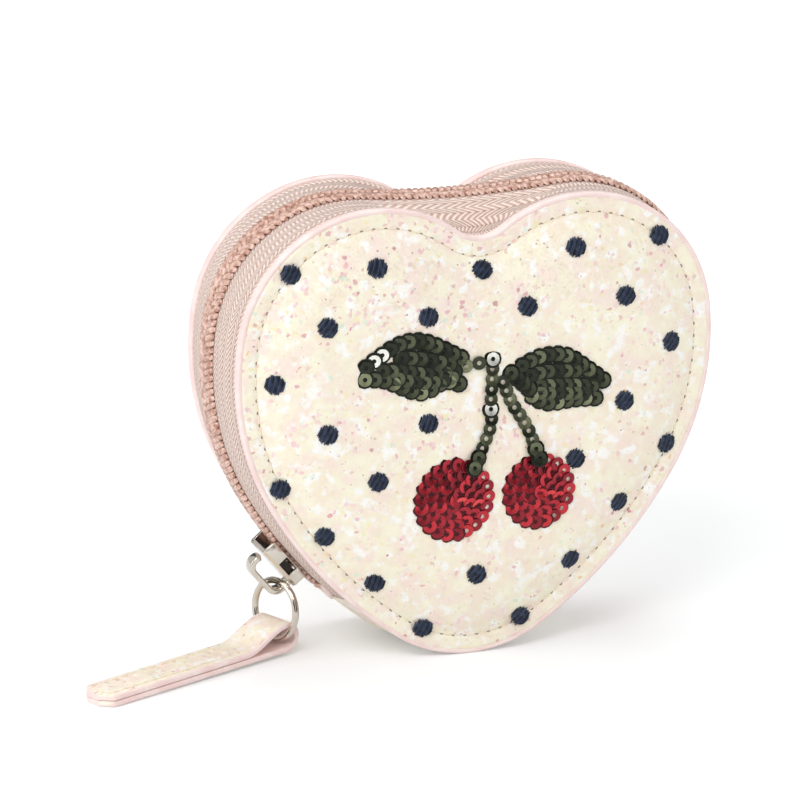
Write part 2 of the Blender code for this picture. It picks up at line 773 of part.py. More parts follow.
def build_dots(outlines):
    """The embroidered dots, on a turned grid whose rows are offset in turn, clear of OUTLINES.

    A dot whose place is too near the edge is pulled in along its row, by DOT_PULL at most.
    """
    first = Vector((-DOT_SHIFT, HEART_TOP - DOT_TOP_DROP))
    along = toward(DOT_TURN) * DOT_COLUMN_PITCH
    down = toward(DOT_TURN + DOWN) * DOT_ROW_PITCH
    number = 0
    for row in range(DOT_ROWS):
        for column in range(-DOT_COLUMNS, DOT_COLUMNS + 1):
            if (row + column) % 2:
                continue
            centre = first + along * column + down * row
            inset, inward = nearest_edge(centre)
            short = max(DOT_MARGIN - inset, 0)
            if short > DOT_PULL * abs(inward.x):
                continue
            if short:
                centre.x += short / inward.x
            if (column, row) == (0, 0):
                centre = Vector((0, centre.y - NOTCH_DOT_DROP))
            if not all(clear_of(centre, outline, DOT_RADIUS) for outline in outlines):
                continue
            number += 1
            steps = range(DOT_SIDES)
            outline = [centre + toward(math.tau * step / DOT_SIDES) * DOT_RADIUS for step in steps]
            raised_patch("dot_%02d" % number, outline, centre, DOT_HEIGHT, NAVY)


def motif(share):
    """The place on the panel of a pair of shares of the motif's width."""
    return Vector((share[0] * MOTIF_WIDTH, MOTIF_BASE + share[1] * MOTIF_WIDTH))


def flat_patch(name, outline, lift, look):
    """A flat plate LIFT thick on the crown's level top."""
    deck = DEPTH + CROWN + GAP
    stack(name, [[world(point, depth) for point in outline] for depth in (deck, deck + lift)], look)


def cherry_outline(across_share, up_share, radius_share):
    """The scalloped outline of a round patch of sequins."""
    centre = motif((across_share, up_share))
    radius = MOTIF_WIDTH * radius_share
    count = CHERRY_SCALLOPS * SCALLOP_POINTS
    outline = []
    for step in range(count):
        dip = abs(math.sin(math.pi * step / SCALLOP_POINTS)) * SCALLOP
        outline.append(centre + toward(math.tau * step / count) * (radius - dip))
    return outline


def leaf_outline(start_share, end_share, rise_share, fall_share):
    """The scalloped outline of a leaf of sequins, pointed at both ends."""
    start = motif(start_share)
    end = motif(end_share)
    along = (end - start).normalized()
    across = Vector((-along.y, along.x))
    count = LEAF_SCALLOPS * SCALLOP_POINTS
    outline = []
    for belly, first in ((rise_share, 0), (-fall_share, count)):
        for step in range(count):
            share = abs(first - step) / count
            dip = abs(math.sin(math.pi * step / SCALLOP_POINTS)) * SCALLOP
            swell = math.sin(math.pi * share) ** LEAF_POWER
            spread = belly * MOTIF_WIDTH * swell
            spread -= math.copysign(dip, belly) * swell
            outline.append(start.lerp(end, share) + across * spread)
    return outline


def stem_outline(shares):
    """The outline of a stem, a single row of overlapping sequins at the places SHARES."""
    places = [motif(share) for share in shares]
    near = []
    far = []
    for index, place in enumerate(places):
        before = places[max(index - 1, 0)]
        after = places[min(index + 1, len(places) - 1)]
        along = (after - before).normalized()
        across = Vector((-along.y, along.x))
        reach_back = (place - before).length / 2 if index else SEQUIN_RADIUS
        reach_on = (after - place).length / 2 if index < len(places) - 1 else SEQUIN_RADIUS
        for step in range(STEM_POINTS_PER_SEQUIN):
            share = (step + 0.5) / STEM_POINTS_PER_SEQUIN
            shift = -reach_back + (reach_back + reach_on) * share
            half = math.sqrt(max(SEQUIN_RADIUS**2 - shift**2, 0))
            near.append(place + along * shift + across * half)
            far.append(place + along * shift - across * half)
    return near + far[::-1]


def sequin_patches():
    """Each sequin patch by name, with its outline, lift and look."""
    patches = {}
    for name, shares in CHERRY_SHARES.items():
        patches[name] = (cherry_outline(*shares), CHERRY_LIFT, CHERRY)
    for name, shares in LEAF_SHARES.items():
        patches[name] = (leaf_outline(*shares), SEQUIN_LIFT, OLIVE)
    for name, shares in STEM_SHARES.items():
        patches[name] = (stem_outline(shares), SEQUIN_LIFT, OLIVE)
    return patches


def build_decoration():
    """The sequin patches, and the embroidered dots between them."""
    patches = sequin_patches()
    build_dots([outline for outline, _, _ in patches.values()])
    for name, (outline, lift, look) in patches.items():
        flat_patch("sequin_" + name, outline, lift, look)


def build_panels():
    """The layers of both panels and their painted edges."""
    inside_flange = FLANGE_REACH + GAP
    board = SKIN + GAP
    lining = board + BOARD + GAP
    build_front_skin()
    build_front_padding()
    panel_plate("back_panel", False, PAINT_WIDTH + GAP, 0, SKIN, IVORY)
    for word, front in (("front", True), ("back", False)):
        panel_plate(word + "_board", front, inside_flange, board, board + BOARD, GREYBOARD)
        panel_plate(word + "_lining", front, inside_flange, lining, lining + LINING, SATEEN)
        build_edge_paint(word + "_edge_paint", front)


def clear_scene():
    """Start from an empty scene."""
    for old in list(bpy.data.objects):
        bpy.data.objects.remove(old, do_unlink=True)


def build():
    """Build the whole purse."""
    clear_scene()
    build_panels()
    build_zip()
    build_gusset()
    build_end_tab("zip_end_tab_left", -1)
    build_end_tab("zip_end_tab_right", 1)
    build_slider()
    build_pull()
    build_decoration()
    bpy.context.view_layer.update()


build()
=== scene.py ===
# %% [markdown]
# # A heart-shaped zip coin purse
# This lesson dresses a packed CAD model of a small zip purse. The CAD gives every solid its place and says
# what moves with what. Here each visible piece gets its real surface: glitter fabric, painted edges, nylon
# coil, nickel, stitched dots and sequins. All lengths are in metres. The purse stands on its tip and faces -Y.

# %% Load the packed frame
import math

import bmesh
import bpy
from mathutils import Matrix, Vector, noise
from mathutils.bvhtree import BVHTree

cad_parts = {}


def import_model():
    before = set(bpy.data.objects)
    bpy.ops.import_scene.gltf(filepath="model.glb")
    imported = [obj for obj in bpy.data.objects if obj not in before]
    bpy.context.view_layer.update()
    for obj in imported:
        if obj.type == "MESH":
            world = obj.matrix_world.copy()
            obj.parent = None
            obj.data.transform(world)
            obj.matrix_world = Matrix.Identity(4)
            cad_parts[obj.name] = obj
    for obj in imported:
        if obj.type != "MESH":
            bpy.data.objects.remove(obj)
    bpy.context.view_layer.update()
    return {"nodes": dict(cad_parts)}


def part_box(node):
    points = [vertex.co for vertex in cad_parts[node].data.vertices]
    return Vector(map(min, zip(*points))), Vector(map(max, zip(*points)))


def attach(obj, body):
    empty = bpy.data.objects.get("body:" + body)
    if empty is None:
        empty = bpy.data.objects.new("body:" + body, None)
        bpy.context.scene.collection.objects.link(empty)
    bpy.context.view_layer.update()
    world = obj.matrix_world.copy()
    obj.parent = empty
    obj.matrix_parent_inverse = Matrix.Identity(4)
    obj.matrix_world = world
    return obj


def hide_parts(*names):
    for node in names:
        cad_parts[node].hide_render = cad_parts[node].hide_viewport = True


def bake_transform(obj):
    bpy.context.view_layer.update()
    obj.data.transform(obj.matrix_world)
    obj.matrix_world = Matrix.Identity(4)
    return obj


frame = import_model()
nodes = frame["nodes"]

# %% [markdown]
# ## The heart outline
# The whole purse follows one outline, so it comes first. A heart could be a free curve, but arcs that meet
# tangentially have a great advantage: a line at any inset is the same arcs with other radii, and stays exact.
# The chain follows a second family of arcs, because a zip runs flatter over the lobes and bridges the notch.

# %% Arcs of the outline
MM = 0.001
HEART_DEPTH = 29.5 * MM
TIP_RADIUS, FLANK_RADIUS, SIDE_RADIUS, LOBE_RADIUS = 28 * MM, 94 * MM, 55.5 * MM, 29.2 * MM
DOWN, FLANK_START, SIDE_START, LOBE_START = [math.radians(angle) for angle in (-90, -56, -31, 7.5)]
ZIP_END, TAIL_END = math.radians(-48), math.radians(-36)


def toward(angle):
    """The unit direction at ANGLE in the plane of the heart."""
    return Vector((math.cos(angle), math.sin(angle)))


def half_arcs(lobe_radius, notch_radius):
    """The right half's arcs, tip to notch: centre, radius, first and last angle, bend and steps."""
    tip = Vector((0, TIP_RADIUS))
    flank = tip + toward(FLANK_START) * (TIP_RADIUS - FLANK_RADIUS)
    side = flank + toward(SIDE_START) * (FLANK_RADIUS - SIDE_RADIUS)
    lobe = side + toward(LOBE_START) * (SIDE_RADIUS - lobe_radius)
    reach = lobe_radius + notch_radius
    notch = Vector((0, lobe.y + math.sqrt(reach**2 - lobe.x**2)))
    crest = math.atan2(notch.y - lobe.y, notch.x - lobe.x)
    return (
        (tip, TIP_RADIUS, DOWN, FLANK_START, 1, 10),
        (flank, FLANK_RADIUS, FLANK_START, SIDE_START, 1, 16),
        (side, SIDE_RADIUS, SIDE_START, LOBE_START, 1, 18),
        (lobe, lobe_radius, LOBE_START, crest, 1, 34),
        (notch, notch_radius, crest - math.pi, DOWN, -1, 12),
    )


PANEL_ARCS, CHAIN_ARCS = half_arcs(LOBE_RADIUS, 8 * MM), half_arcs(27.2 * MM, 200 * MM)
TIP, NOTCH = (0, DOWN), (4, DOWN)
FLANK_CENTRE = PANEL_ARCS[1][0]
HEART_TOP = PANEL_ARCS[3][0].y + LOBE_RADIUS
TIP_HEIGHT = -HEART_TOP / 2


def half_line(arcs, inset, start=TIP, stop=NOTCH):
    """Points of the right half at INSET, from the place START up to the place STOP."""
    points = []
    for number in range(start[0], stop[0] + 1):
        centre, radius, first, last, bend, steps = arcs[number]
        first = start[1] if number == start[0] else first
        last = stop[1] if number == stop[0] else last
        for step in range(1 if points else 0, steps + 1):
            angle = first + (last - first) * step / steps
            points.append(centre + toward(angle) * (radius - bend * inset))
    return points


def mirrored(points):
    """The left half's points for the right half's."""
    return [Vector((-point.x, point.y)) for point in points]


def whole_line(inset):
    """The closed outline at INSET, round from the tip."""
    right = half_line(PANEL_ARCS, inset)
    return right + mirrored(right)[-2:0:-1]


def over_top(arcs, inset, angle):
    """Points from ANGLE on the left flank, up over both lobes, to ANGLE on the right flank."""
    right = half_line(arcs, inset, (1, angle))
    return mirrored(right) + right[-2::-1]


def world(point, depth):
    """The place in space of a POINT of the heart at DEPTH in front of the back face."""
    return Vector((point.x, -depth, point.y + TIP_HEIGHT))


print("heart: %.1f mm wide, %.1f mm tall" % (2000 * max(p.x for p in whole_line(0)), 1000 * HEART_TOP))

# %% [markdown]
# ## The camera
# The photograph was taken from far off with a long lens, from the purse's left and a little above. Those
# three angles, the distance and the picture's scale were fitted to points of the outline. They are turned
# into a camera here, with a small shift because the purse isn't in the middle of the frame.

# %% Camera
AZIMUTH, ELEVATION, ROLL = math.radians(22.5), math.radians(17.0), math.radians(1.4)
CAMERA_DISTANCE, PIXELS_PER_MM, SENSOR = 1.2, 4.9, 36
PICTURE, AIM_COLUMN, AIM_ROW = 800, 450.8, 409.8


def linked(name, data):
    """A new object for DATA, in the scene."""
    made = bpy.data.objects.new(name, data)
    bpy.context.scene.collection.objects.link(made)
    return made


def frame_of(x_way, y_way, z_way, origin):
    """The matrix with these three axes about its ORIGIN."""
    matrix = Matrix((x_way, y_way, z_way)).transposed().to_4x4()
    matrix.translation = origin
    return matrix


aim = Vector((0, -15.75, 0.24)) * MM
right = Vector((math.cos(AZIMUTH), -math.sin(AZIMUTH), 0))
level = Vector((math.sin(AZIMUTH), math.cos(AZIMUTH), 0))
look = level * math.cos(ELEVATION) - Vector((0, 0, math.sin(ELEVATION)))
up = right.cross(look)
rolled_right = right * math.cos(ROLL) + up * math.sin(ROLL)
rolled_up = up * math.cos(ROLL) - right * math.sin(ROLL)

camera = linked("camera", bpy.data.cameras.new("camera"))
camera.data.sensor_width = SENSOR
camera.data.lens = SENSOR * CAMERA_DISTANCE / MM * PIXELS_PER_MM / PICTURE
camera.data.shift_x = (PICTURE / 2 - AIM_COLUMN) / PICTURE
camera.data.shift_y = (AIM_ROW - PICTURE / 2) / PICTURE
camera.data.clip_end = 20
camera.matrix_world = frame_of(rolled_right, rolled_up, -look, aim - look * CAMERA_DISTANCE)
bpy.context.scene.camera = camera
bpy.context.scene.view_settings.view_transform = "Standard"
print("lens: %.0f mm" % camera.data.lens)

# %% [markdown]
# ## Patterns as Python expressions
# A node tree is arithmetic. Wrapping a socket in a small class lets Python's own operators add the nodes, so
# a pattern reads as a formula. The same class serves materials and Geometry Nodes, because both use the same
# Math nodes. Every other node comes from one method that takes its type, settings and inputs, and the nodes
# that nearly every finish needs get a short name of their own. Colours are written as they look on screen.

# %% Colours
def colour(code):
    """The linear colour, with alpha, for six hexadecimal digits as they look on screen."""
    shares = [int(code[index:index + 2], 16) / 255 for index in (0, 2, 4)]
    linear = [share / 12.92 if share <= 0.04045 else ((share + 0.055) / 1.055) ** 2.4 for share in shares]
    return (*linear, 1.0)


print("white as written:", colour("ffffff"))

# %% Sockets with operators
class Value:
    """One socket of a node tree, on which Python's operators add that tree's Math nodes."""

    def __init__(self, tree, socket):
        self.tree = tree
        self.socket = socket

    def maths(self, operation, other=None, swap=False):
        vector = self.socket.type == "VECTOR"
        if vector and isinstance(other, (int, float)):
            other = (other, other, other)
        pair = (other, self) if swap else (self, other)
        inputs = {index: item for index, item in enumerate(pair) if item is not None}
        kind = "ShaderNodeVectorMath" if vector else "ShaderNodeMath"
        return self.tree.node(kind, {"operation": operation}, inputs)

    def __add__(self, other):
        return self.maths("ADD", other)

    def __sub__(self, other):
        return self.maths("SUBTRACT", other)

    def __rsub__(self, other):
        return self.maths("SUBTRACT", other, True)

    def __mul__(self, other):
        return self.maths("MULTIPLY", other)

    def __truediv__(self, other):
        return self.maths("DIVIDE", other)

    def __gt__(self, other):
        return self.maths("GREATER_THAN", other)

    def __lt__(self, other):
        return self.maths("LESS_THAN", other)

    __radd__ = __add__
    __rmul__ = __mul__

    def bounded(self):
        """The value kept between 0 and 1."""
        return self.maths("MINIMUM", 1.0).maths("MAXIMUM", 0.0)

    def mix(self, low, high):
        """The colour that goes from LOW to HIGH as this mask goes from 0 to 1."""
        low, high = [colour(item) if isinstance(item, str) else item for item in (low, high)]
        return self.tree.node("ShaderNodeMix", {"data_type": "RGBA"}, {0: self, 6: low, 7: high}, 2)


class Tree:
    """A node tree that expressions are written in."""

    def __init__(self, tree):
        self.tree = tree

    def feed(self, made, inputs):
        """Set or link the sockets of a node."""
        for key, value in inputs.items():
            if isinstance(value, Value):
                self.tree.links.new(value.socket, made.inputs[key])
            else:
                made.inputs[key].default_value = value

    def node(self, kind, settings=None, inputs=None, output=0):
        """Add a node of KIND, with its settings first, and give one of its outputs."""
        made = self.tree.nodes.new(kind)
        for key, value in (settings or {}).items():
            if key == "stops":
                ramp = made.color_ramp
                ramp.elements[0].position, ramp.elements[0].color = value[0]
                ramp.elements[1].position, ramp.elements[1].color = value[-1]
                for place, shade in value[1:-1]:
                    ramp.elements.new(place).color = shade
            elif key == "interpolation":
                made.color_ramp.interpolation = value
            else:
                setattr(made, key, value)
        self.feed(made, inputs or {})
        return Value(self, made.outputs[output])

    # The nodes that nearly every finish needs.
    def split(self, vector):
        """The three parts of a vector."""
        parts = self.node("ShaderNodeSeparateXYZ", None, {0: vector}).socket.node.outputs
        return [Value(self, part) for part in parts]

    def place(self, kind="Object"):
        """The texture coordinate of a KIND."""
        return self.node("ShaderNodeTexCoord", output=kind)

    def noise(self, place, scale, detail):
        """Noise about 0.5 at PLACE."""
        return self.node("ShaderNodeTexNoise", None, {"Vector": place, "Scale": scale, "Detail": detail}, "Fac")

    def bump(self, strength, depth, height):
        """The normal of a relief DEPTH deep, by a HEIGHT from 0 to 1."""
        return self.node("ShaderNodeBump", None, {"Strength": strength, "Distance": depth, "Height": height})

    def ramp(self, stops, mask, **settings):
        """The colour at MASK of a ramp through STOPS."""
        stops = [(place, colour(code)) for place, code in stops]
        return self.node("ShaderNodeValToRGB", {"stops": stops, **settings}, {0: mask})

    def tone(self):
        """The tone that each copy of a small mesh carries."""
        return self.node("ShaderNodeAttribute", {"attribute_name": "tone"}, None, "Fac")


def finish(name, constants):
    """A new material: its tree, its shader and itself. CONSTANTS are set on the shader's own sockets."""
    made = bpy.data.materials.new(name)
    made.use_nodes = True
    shader = made.node_tree.nodes["Principled BSDF"]
    tree = Tree(made.node_tree)
    tree.feed(shader, constants)
    return tree, shader, made


print("node helpers:", [name for name in vars(Tree) if not name.startswith("_")])

# %% [markdown]
# ## Light and floor
# A product shot wants light from everywhere, with a few soft lamps that give the forms a side. The world is
# white to the camera, with dark drapes in reflections, and lights the purse at part strength. The floor is
# matt and glows for the camera and in mirrors: faintly under the purse, where it has to keep the shadow, and
# fully farther out, where it has to read as white.

# %% World and lamps
world_made = bpy.data.worlds.new("studio")
bpy.context.scene.world = world_made
world_made.use_nodes = True
studio = Tree(world_made.node_tree)
AMBIENT, MIRROR_SHARE = 0.54, 0.35
DRAPES, DRAPE_START, DRAPE_MIDDLE, DRAPE_HALF, DRAPE_DARKNESS = 5.0, 0.8, 0.24, 0.44, 0.62


def seen_directly(tree):
    """1 for a ray from the camera or through glass, less for one from a reflection."""
    path = tree.node("ShaderNodeLightPath", output="Is Camera Ray")
    rays = path.socket.node.outputs
    mirror = path + Value(tree, rays["Is Glossy Ray"]) * MIRROR_SHARE + Value(tree, rays["Is Transmission Ray"])
    return mirror.maths("MINIMUM", 1.0)


strength = seen_directly(studio) * (1 - AMBIENT) + AMBIENT
way_x, way_y, way_z = studio.split(studio.place("Generated"))
turns = (way_y.maths("ARCTAN2", way_x) * DRAPES + DRAPE_START).maths("SINE")
band = DRAPE_HALF - (way_z - DRAPE_MIDDLE).maths("ABSOLUTE")
drapes = (turns * 4.0 + 1.2).bounded() * (band * 9.0).bounded()
strength = strength - drapes * studio.node("ShaderNodeLightPath", output="Is Glossy Ray") * DRAPE_DARKNESS
studio.feed(world_made.node_tree.nodes["Background"], {"Color": (1, 1, 1, 1), "Strength": strength})

# Place, size of the square lamp and power in watts. Each points at the purse.
LAMPS = {
    "key_lamp": ((-0.55, -0.70, 0.85), 0.5, 5.1),
    "fill_lamp": ((0.8, -0.6, 0.5), 0.6, 1.2),
    "side_lamp": ((-0.9, -0.1, 0.35), 0.5, 2.3),
    "top_lamp": ((0.12, 0.32, 1.0), 0.6, 3.0),
}
for name, (spot, size, power) in LAMPS.items():
    lamp = linked(name, bpy.data.lights.new(name, "AREA"))
    lamp.data.size = size
    lamp.data.energy = power
    lamp.location = spot
    lamp.rotation_euler = (Vector(spot) * -1).to_track_quat("-Z", "Y").to_euler()
print("lamps:", list(LAMPS))

# %% Floor
FLOOR_REACH, GLOW_START, GLOW_GROWTH, GLOW_NEAR = 3.0, 0.16, 2.2, (0.2, 0.2, 0.2, 1)
floor_mesh = bpy.data.meshes.new("floor")
corners = [(x * FLOOR_REACH, y * FLOOR_REACH, TIP_HEIGHT) for x, y in ((-1, -1), (1, -1), (1, 1), (-1, 1))]
floor_mesh.from_pydata(corners, [], [(0, 1, 2, 3)])
floor = linked("floor", floor_mesh)
tree, shader, floor_look = finish("studio_floor", {"Base Color": colour("edeff0"), "Roughness": 0.9})
floor_x, floor_y, _ = tree.split(tree.place())
away = (floor_x * floor_x + floor_y * floor_y).maths("SQRT")
glow = ((away - GLOW_START) * GLOW_GROWTH).bounded().mix(GLOW_NEAR, (1, 1, 1, 1))
tree.feed(shader, {"Emission Color": glow, "Emission Strength": seen_directly(tree)})
floor_mesh.materials.append(floor_look)
print("floor at height", round(TIP_HEIGHT, 4))

# %% [markdown]
# ## Helpers for meshes
# Nearly every piece of the purse is a section carried along a line. One function makes such a mesh from rows
# of points, with a UV map in metres that runs along and across the rows, so that a weave can follow the cloth.

# %% Lofted meshes
SHARP_ANGLE = math.radians(38)


def add_mesh(name, bm, looks):
    """An object for the mesh BM, smooth but for its sharp edges."""
    mesh = bpy.data.meshes.new(name)
    bm.to_mesh(mesh)
    bm.free()
    mesh.shade_smooth()
    mesh.set_sharp_from_angle(angle=SHARP_ANGLE)
    for look in looks:
        mesh.materials.append(look)
    return linked(name, mesh)


def running(points, closed):
    """The distance covered at each of POINTS, and back at the first one when CLOSED."""
    covered = [0.0]
    following = points[1:] + (points[:1] if closed else [])
    for start, end in zip(points, following):
        covered.append(covered[-1] + (end - start).length)
    return covered


def loft(name, rows, looks, ring=False, hoop=False, caps=False, matrix=None):
    """A mesh through ROWS of points. RING closes each row, HOOP joins the last row to the first."""
    bm = bmesh.new()
    grid = [[bm.verts.new(point) for point in row] for row in rows]
    layer = bm.loops.layers.uv.new("UVMap")
    count = len(rows[0])
    across = running(rows[0], ring)
    along = running([row[0] for row in rows], hoop)
    for low in range(len(rows) if hoop else len(rows) - 1):
        high = (low + 1) % len(rows)
        for left in range(count if ring else count - 1):
            after = (left + 1) % count
            face = bm.faces.new((grid[low][left], grid[low][after], grid[high][after], grid[high][left]))
            places = ((left, low), (left + 1, low), (left + 1, low + 1), (left, low + 1))
            for corner, (column, row) in zip(face.loops, places):
                corner[layer].uv = (across[column], along[row])
    if caps:
        bm.faces.new(grid[0][::-1])
        bm.faces.new(grid[-1])
    if matrix:
        bm.transform(matrix)
    bmesh.ops.recalc_face_normals(bm, faces=bm.faces)
    return add_mesh(name, bm, looks)

# %% Outlines, bars and small round meshes
def between(start, end, steps):
    """Even steps from START to END, both included."""
    return [start + (end - start) * step / steps for step in range(steps + 1)]


def arc(centre, radius, first, last, steps):
    """Points along an arc in a plane."""
    return [centre + toward(angle) * radius for angle in between(first, last, steps)]


def rounded_box(half_width, half_height, corner, steps):
    """The closed outline of a rectangle with round corners, from the lower right corner round."""
    outline = []
    for quarter, (x, y) in enumerate(((1, -1), (1, 1), (-1, 1), (-1, -1))):
        centre = Vector((x * (half_width - corner), y * (half_height - corner)))
        outline += arc(centre, corner, math.radians(quarter * 90 - 90), math.radians(quarter * 90), steps)
    return outline


def bar(name, line, sizes, sides, look):
    """A closed round bar along LINE, with its half width and half height at each point."""
    rows = []
    for index, point in enumerate(line):
        before, after = line[max(index - 1, 0)], line[min(index + 1, len(line) - 1)]
        side = (after - before).cross(Vector((0, 0, 1))).normalized()
        rise = side.cross(after - before).normalized()
        wide, tall = sizes[index]
        ways = [toward(math.tau * step / sides) for step in range(sides)]
        rows.append([point + side * way.x * wide + rise * way.y * tall for way in ways])
    return loft(name, rows, [look], ring=True, caps=True)


def turned(name, profile, sides, look, hoop=False, shift=0, squash=1):
    """A small round mesh through a PROFILE of radius and height, with caps or as a HOOP."""
    ways = [toward(math.tau * step / sides) for step in range(sides)]
    rows = [[Vector((shift + way.x * radius, way.y * radius * squash, height)) for way in ways]
            for radius, height in profile]
    return loft(name, rows, [look], ring=True, hoop=hoop, caps=not hoop)


print("a rounded box of 4 steps a corner has", len(rounded_box(3, 2, 1, 4)), "points")


def settle(piece, body, slot, *replaced):
    """Let PIECE ride on BODY and stand for the CAD nodes REPLACED. SLOT is not used."""
    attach(piece, body)
    if replaced:
        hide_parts(*replaced)
    print("%s: %d faces, on %s" % (piece.name, len(piece.data.polygons), body))


print("CAD nodes to dress:", len(nodes))

# %% [markdown]
# ## Helpers that repeat a piece
# Teeth, stitches, sequins and flakes each repeat one small mesh. Copying it in Python would work, but Geometry
# Nodes keep the rule in one place: a tree gets a path, a set of places or a surface, and puts the small mesh
# there, turned by two directions. It ends in Realize Instances, because an export has no instances.

# %% A tree's start and end
def geometry_tree(name, *sizes):
    """A Geometry Nodes tree with named inputs: the tree, its inputs by name and its end."""
    made = bpy.data.node_groups.new(name, "GeometryNodeTree")
    labels = (("Geometry", "Geometry", None), ("Element", "Object", None), ("Finish", "Material", None), *sizes)
    for label, kind, value in labels:
        socket = made.interface.new_socket(label, in_out="INPUT", socket_type="NodeSocket" + kind)
        if value is not None:
            socket.default_value = value
    made.interface.new_socket("Geometry", in_out="OUTPUT", socket_type="NodeSocketGeometry")
    tree = Tree(made)
    source = made.nodes.new("NodeGroupInput")
    inputs = {socket.name: Value(tree, socket) for socket in source.outputs if socket.name}
    return tree, inputs, made.nodes.new("NodeGroupOutput")


def end_tree(tree, inputs, end, places, out, along, selection=True, scale=(1, 1, 1)):
    """Put the element on PLACES with its Z toward OUT and its X toward ALONG, and close the tree."""
    element = tree.node("GeometryNodeObjectInfo", None, {"Object": inputs["Element"]}, "Geometry")
    turn = tree.node("FunctionNodeAxesToRotation", {"primary_axis": "Z", "secondary_axis": "X"},
                     {"Primary Axis": out, "Secondary Axis": along})
    put = {"Points": places, "Selection": selection, "Instance": element, "Rotation": turn, "Scale": scale}
    copies = tree.node("GeometryNodeInstanceOnPoints", None, put)
    real = tree.node("GeometryNodeRealizeInstances", None, {"Geometry": copies})
    real = tree.node("GeometryNodeSetMaterial", None, {"Geometry": real, "Material": inputs["Finish"]})
    tree.feed(end, {0: real})


def stored(tree, name, kind="FLOAT_VECTOR"):
    """The attribute NAME of each point."""
    return tree.node("GeometryNodeInputNamedAttribute", {"data_type": kind}, {"Name": name}, "Attribute")

# %% Trees along a path and on given places
path_tree, given, end = geometry_tree(
    "repeat_along_path", ("Pitch", "Float", 2 * MM), ("Low", "Float", -1.0), ("High", "Float", 1.0))
curve = path_tree.node("GeometryNodeMeshToCurve", None, {"Mesh": given["Geometry"]})
curve = path_tree.node("GeometryNodeResampleCurve", {"mode": "LENGTH"},
                       {"Curve": curve, "Length": given["Pitch"]})
height = path_tree.split(path_tree.node("GeometryNodeInputPosition"))[2]
inside = (height > given["Low"]) * (height < given["High"])
tangent = path_tree.node("GeometryNodeInputTangent")
end_tree(path_tree, given, end, curve, stored(path_tree, "out"), tangent, inside)

place_tree, given, end = geometry_tree("repeat_on_places")
spots = place_tree.node("GeometryNodeMeshToPoints", None, {"Mesh": given["Geometry"]})
end_tree(place_tree, given, end, spots, stored(place_tree, "out"), stored(place_tree, "along"),
         scale=stored(place_tree, "size"))
print("trees:", [group.name for group in bpy.data.node_groups])

# %% A tree that scatters on a surface
surface_tree, given, end = geometry_tree(
    "scatter_on_surface", ("Density", "Float", 1000.0), ("Seed", "Int", 1), ("Tilt", "Float", 0.3),
    ("Smallest", "Float", 0.5))


def drawn(low, high, later):
    """A random number for each point, from a seed some steps LATER than the tree's own."""
    inputs = {2: low, 3: high, "Seed": given["Seed"] + later}
    return surface_tree.node("FunctionNodeRandomValue", {"data_type": "FLOAT"}, inputs, 1)


spots = surface_tree.node("GeometryNodeDistributePointsOnFaces", None,
                          {"Mesh": given["Geometry"], "Density": given["Density"], "Seed": given["Seed"]})
normal = Value(surface_tree, spots.socket.node.outputs["Normal"])
lean = surface_tree.node("FunctionNodeRandomValue", {"data_type": "FLOAT_VECTOR"},
                         {"Min": (-1, -1, -1), "Max": (1, 1, 1), "Seed": given["Seed"]})
out = normal + surface_tree.node("ShaderNodeVectorMath", {"operation": "SCALE"}, {0: lean, 3: given["Tilt"]})
size = drawn(given["Smallest"], 1.0, 1)
spots = surface_tree.node("GeometryNodeStoreNamedAttribute", {"data_type": "FLOAT", "domain": "POINT"},
                          {"Geometry": spots, "Name": "tone", "Value": drawn(0.0, 1.0, 2)})
end_tree(surface_tree, given, end, spots, out, lean, scale=size)
print("tree:", surface_tree.tree.name)

# %% Growing, dropping and joining
def evaluated(piece):
    """A plain mesh of PIECE with its modifiers carried out."""
    graph = bpy.context.evaluated_depsgraph_get()
    return bpy.data.meshes.new_from_object(piece.evaluated_get(graph), depsgraph=graph)


def grow(name, base, tree, element, look, **sizes):
    """The plain object that TREE grows from ELEMENT on the object BASE."""
    modifier = base.modifiers.new(name, "NODES")
    modifier.node_group = tree.tree
    settings = {"Element": element, "Finish": look, **sizes}
    for item in tree.tree.interface.items_tree:
        if item.in_out == "INPUT" and item.name in settings:
            modifier[item.identifier] = settings[item.name]
    mesh = evaluated(base)
    base.modifiers.remove(modifier)
    return linked(name, mesh)


def drop(*objects):
    """Remove helper objects that were only needed for growing."""
    for item in objects:
        bpy.data.objects.remove(item)


def place_mesh(name, points, edges, **attributes):
    """A mesh of bare points, with a value for each point in every one of its attributes."""
    mesh = bpy.data.meshes.new(name)
    mesh.from_pydata(points, edges, [])
    for label, values in attributes.items():
        vector = isinstance(values[0], Vector)
        layer = mesh.attributes.new(label, "FLOAT_VECTOR" if vector else "FLOAT", "POINT")
        layer.data.foreach_set("vector" if vector else "value",
                               [part for value in values for part in value] if vector else values)
    return linked(name, mesh)


def path_mesh(name, points, outs, closed=False):
    """A path for the first tree, with the outward direction at each of its points."""
    count = len(points)
    edges = [(index, (index + 1) % count) for index in range(count if closed else count - 1)]
    return place_mesh(name, points, edges, out=outs)


def join(name, *objects):
    """Several meshes as one object."""
    bm = bmesh.new()
    looks = []
    for item in objects:
        start = len(bm.faces)
        bm.from_mesh(item.data)
        bm.faces.ensure_lookup_table()
        for face in bm.faces[start:]:
            look = item.data.materials[face.material_index]
            if look not in looks:
                looks.append(look)
            face.material_index = looks.index(look)
    drop(*objects)
    return add_mesh(name, bm, looks)


print("helpers for what repeats are ready")

# %% [markdown]
# ## Glitter fabric
# The fabric is a cream film full of tiny flakes. From a step away they melt into soft patches of cream, pale
# yellow, blush and white, about a millimetre wide, with small coloured chips among them that lie in clusters,
# more of them toward the upper left. Noise gives the patches and the clusters. Voronoi cells give the chips
# and tilt the surface cell by cell.

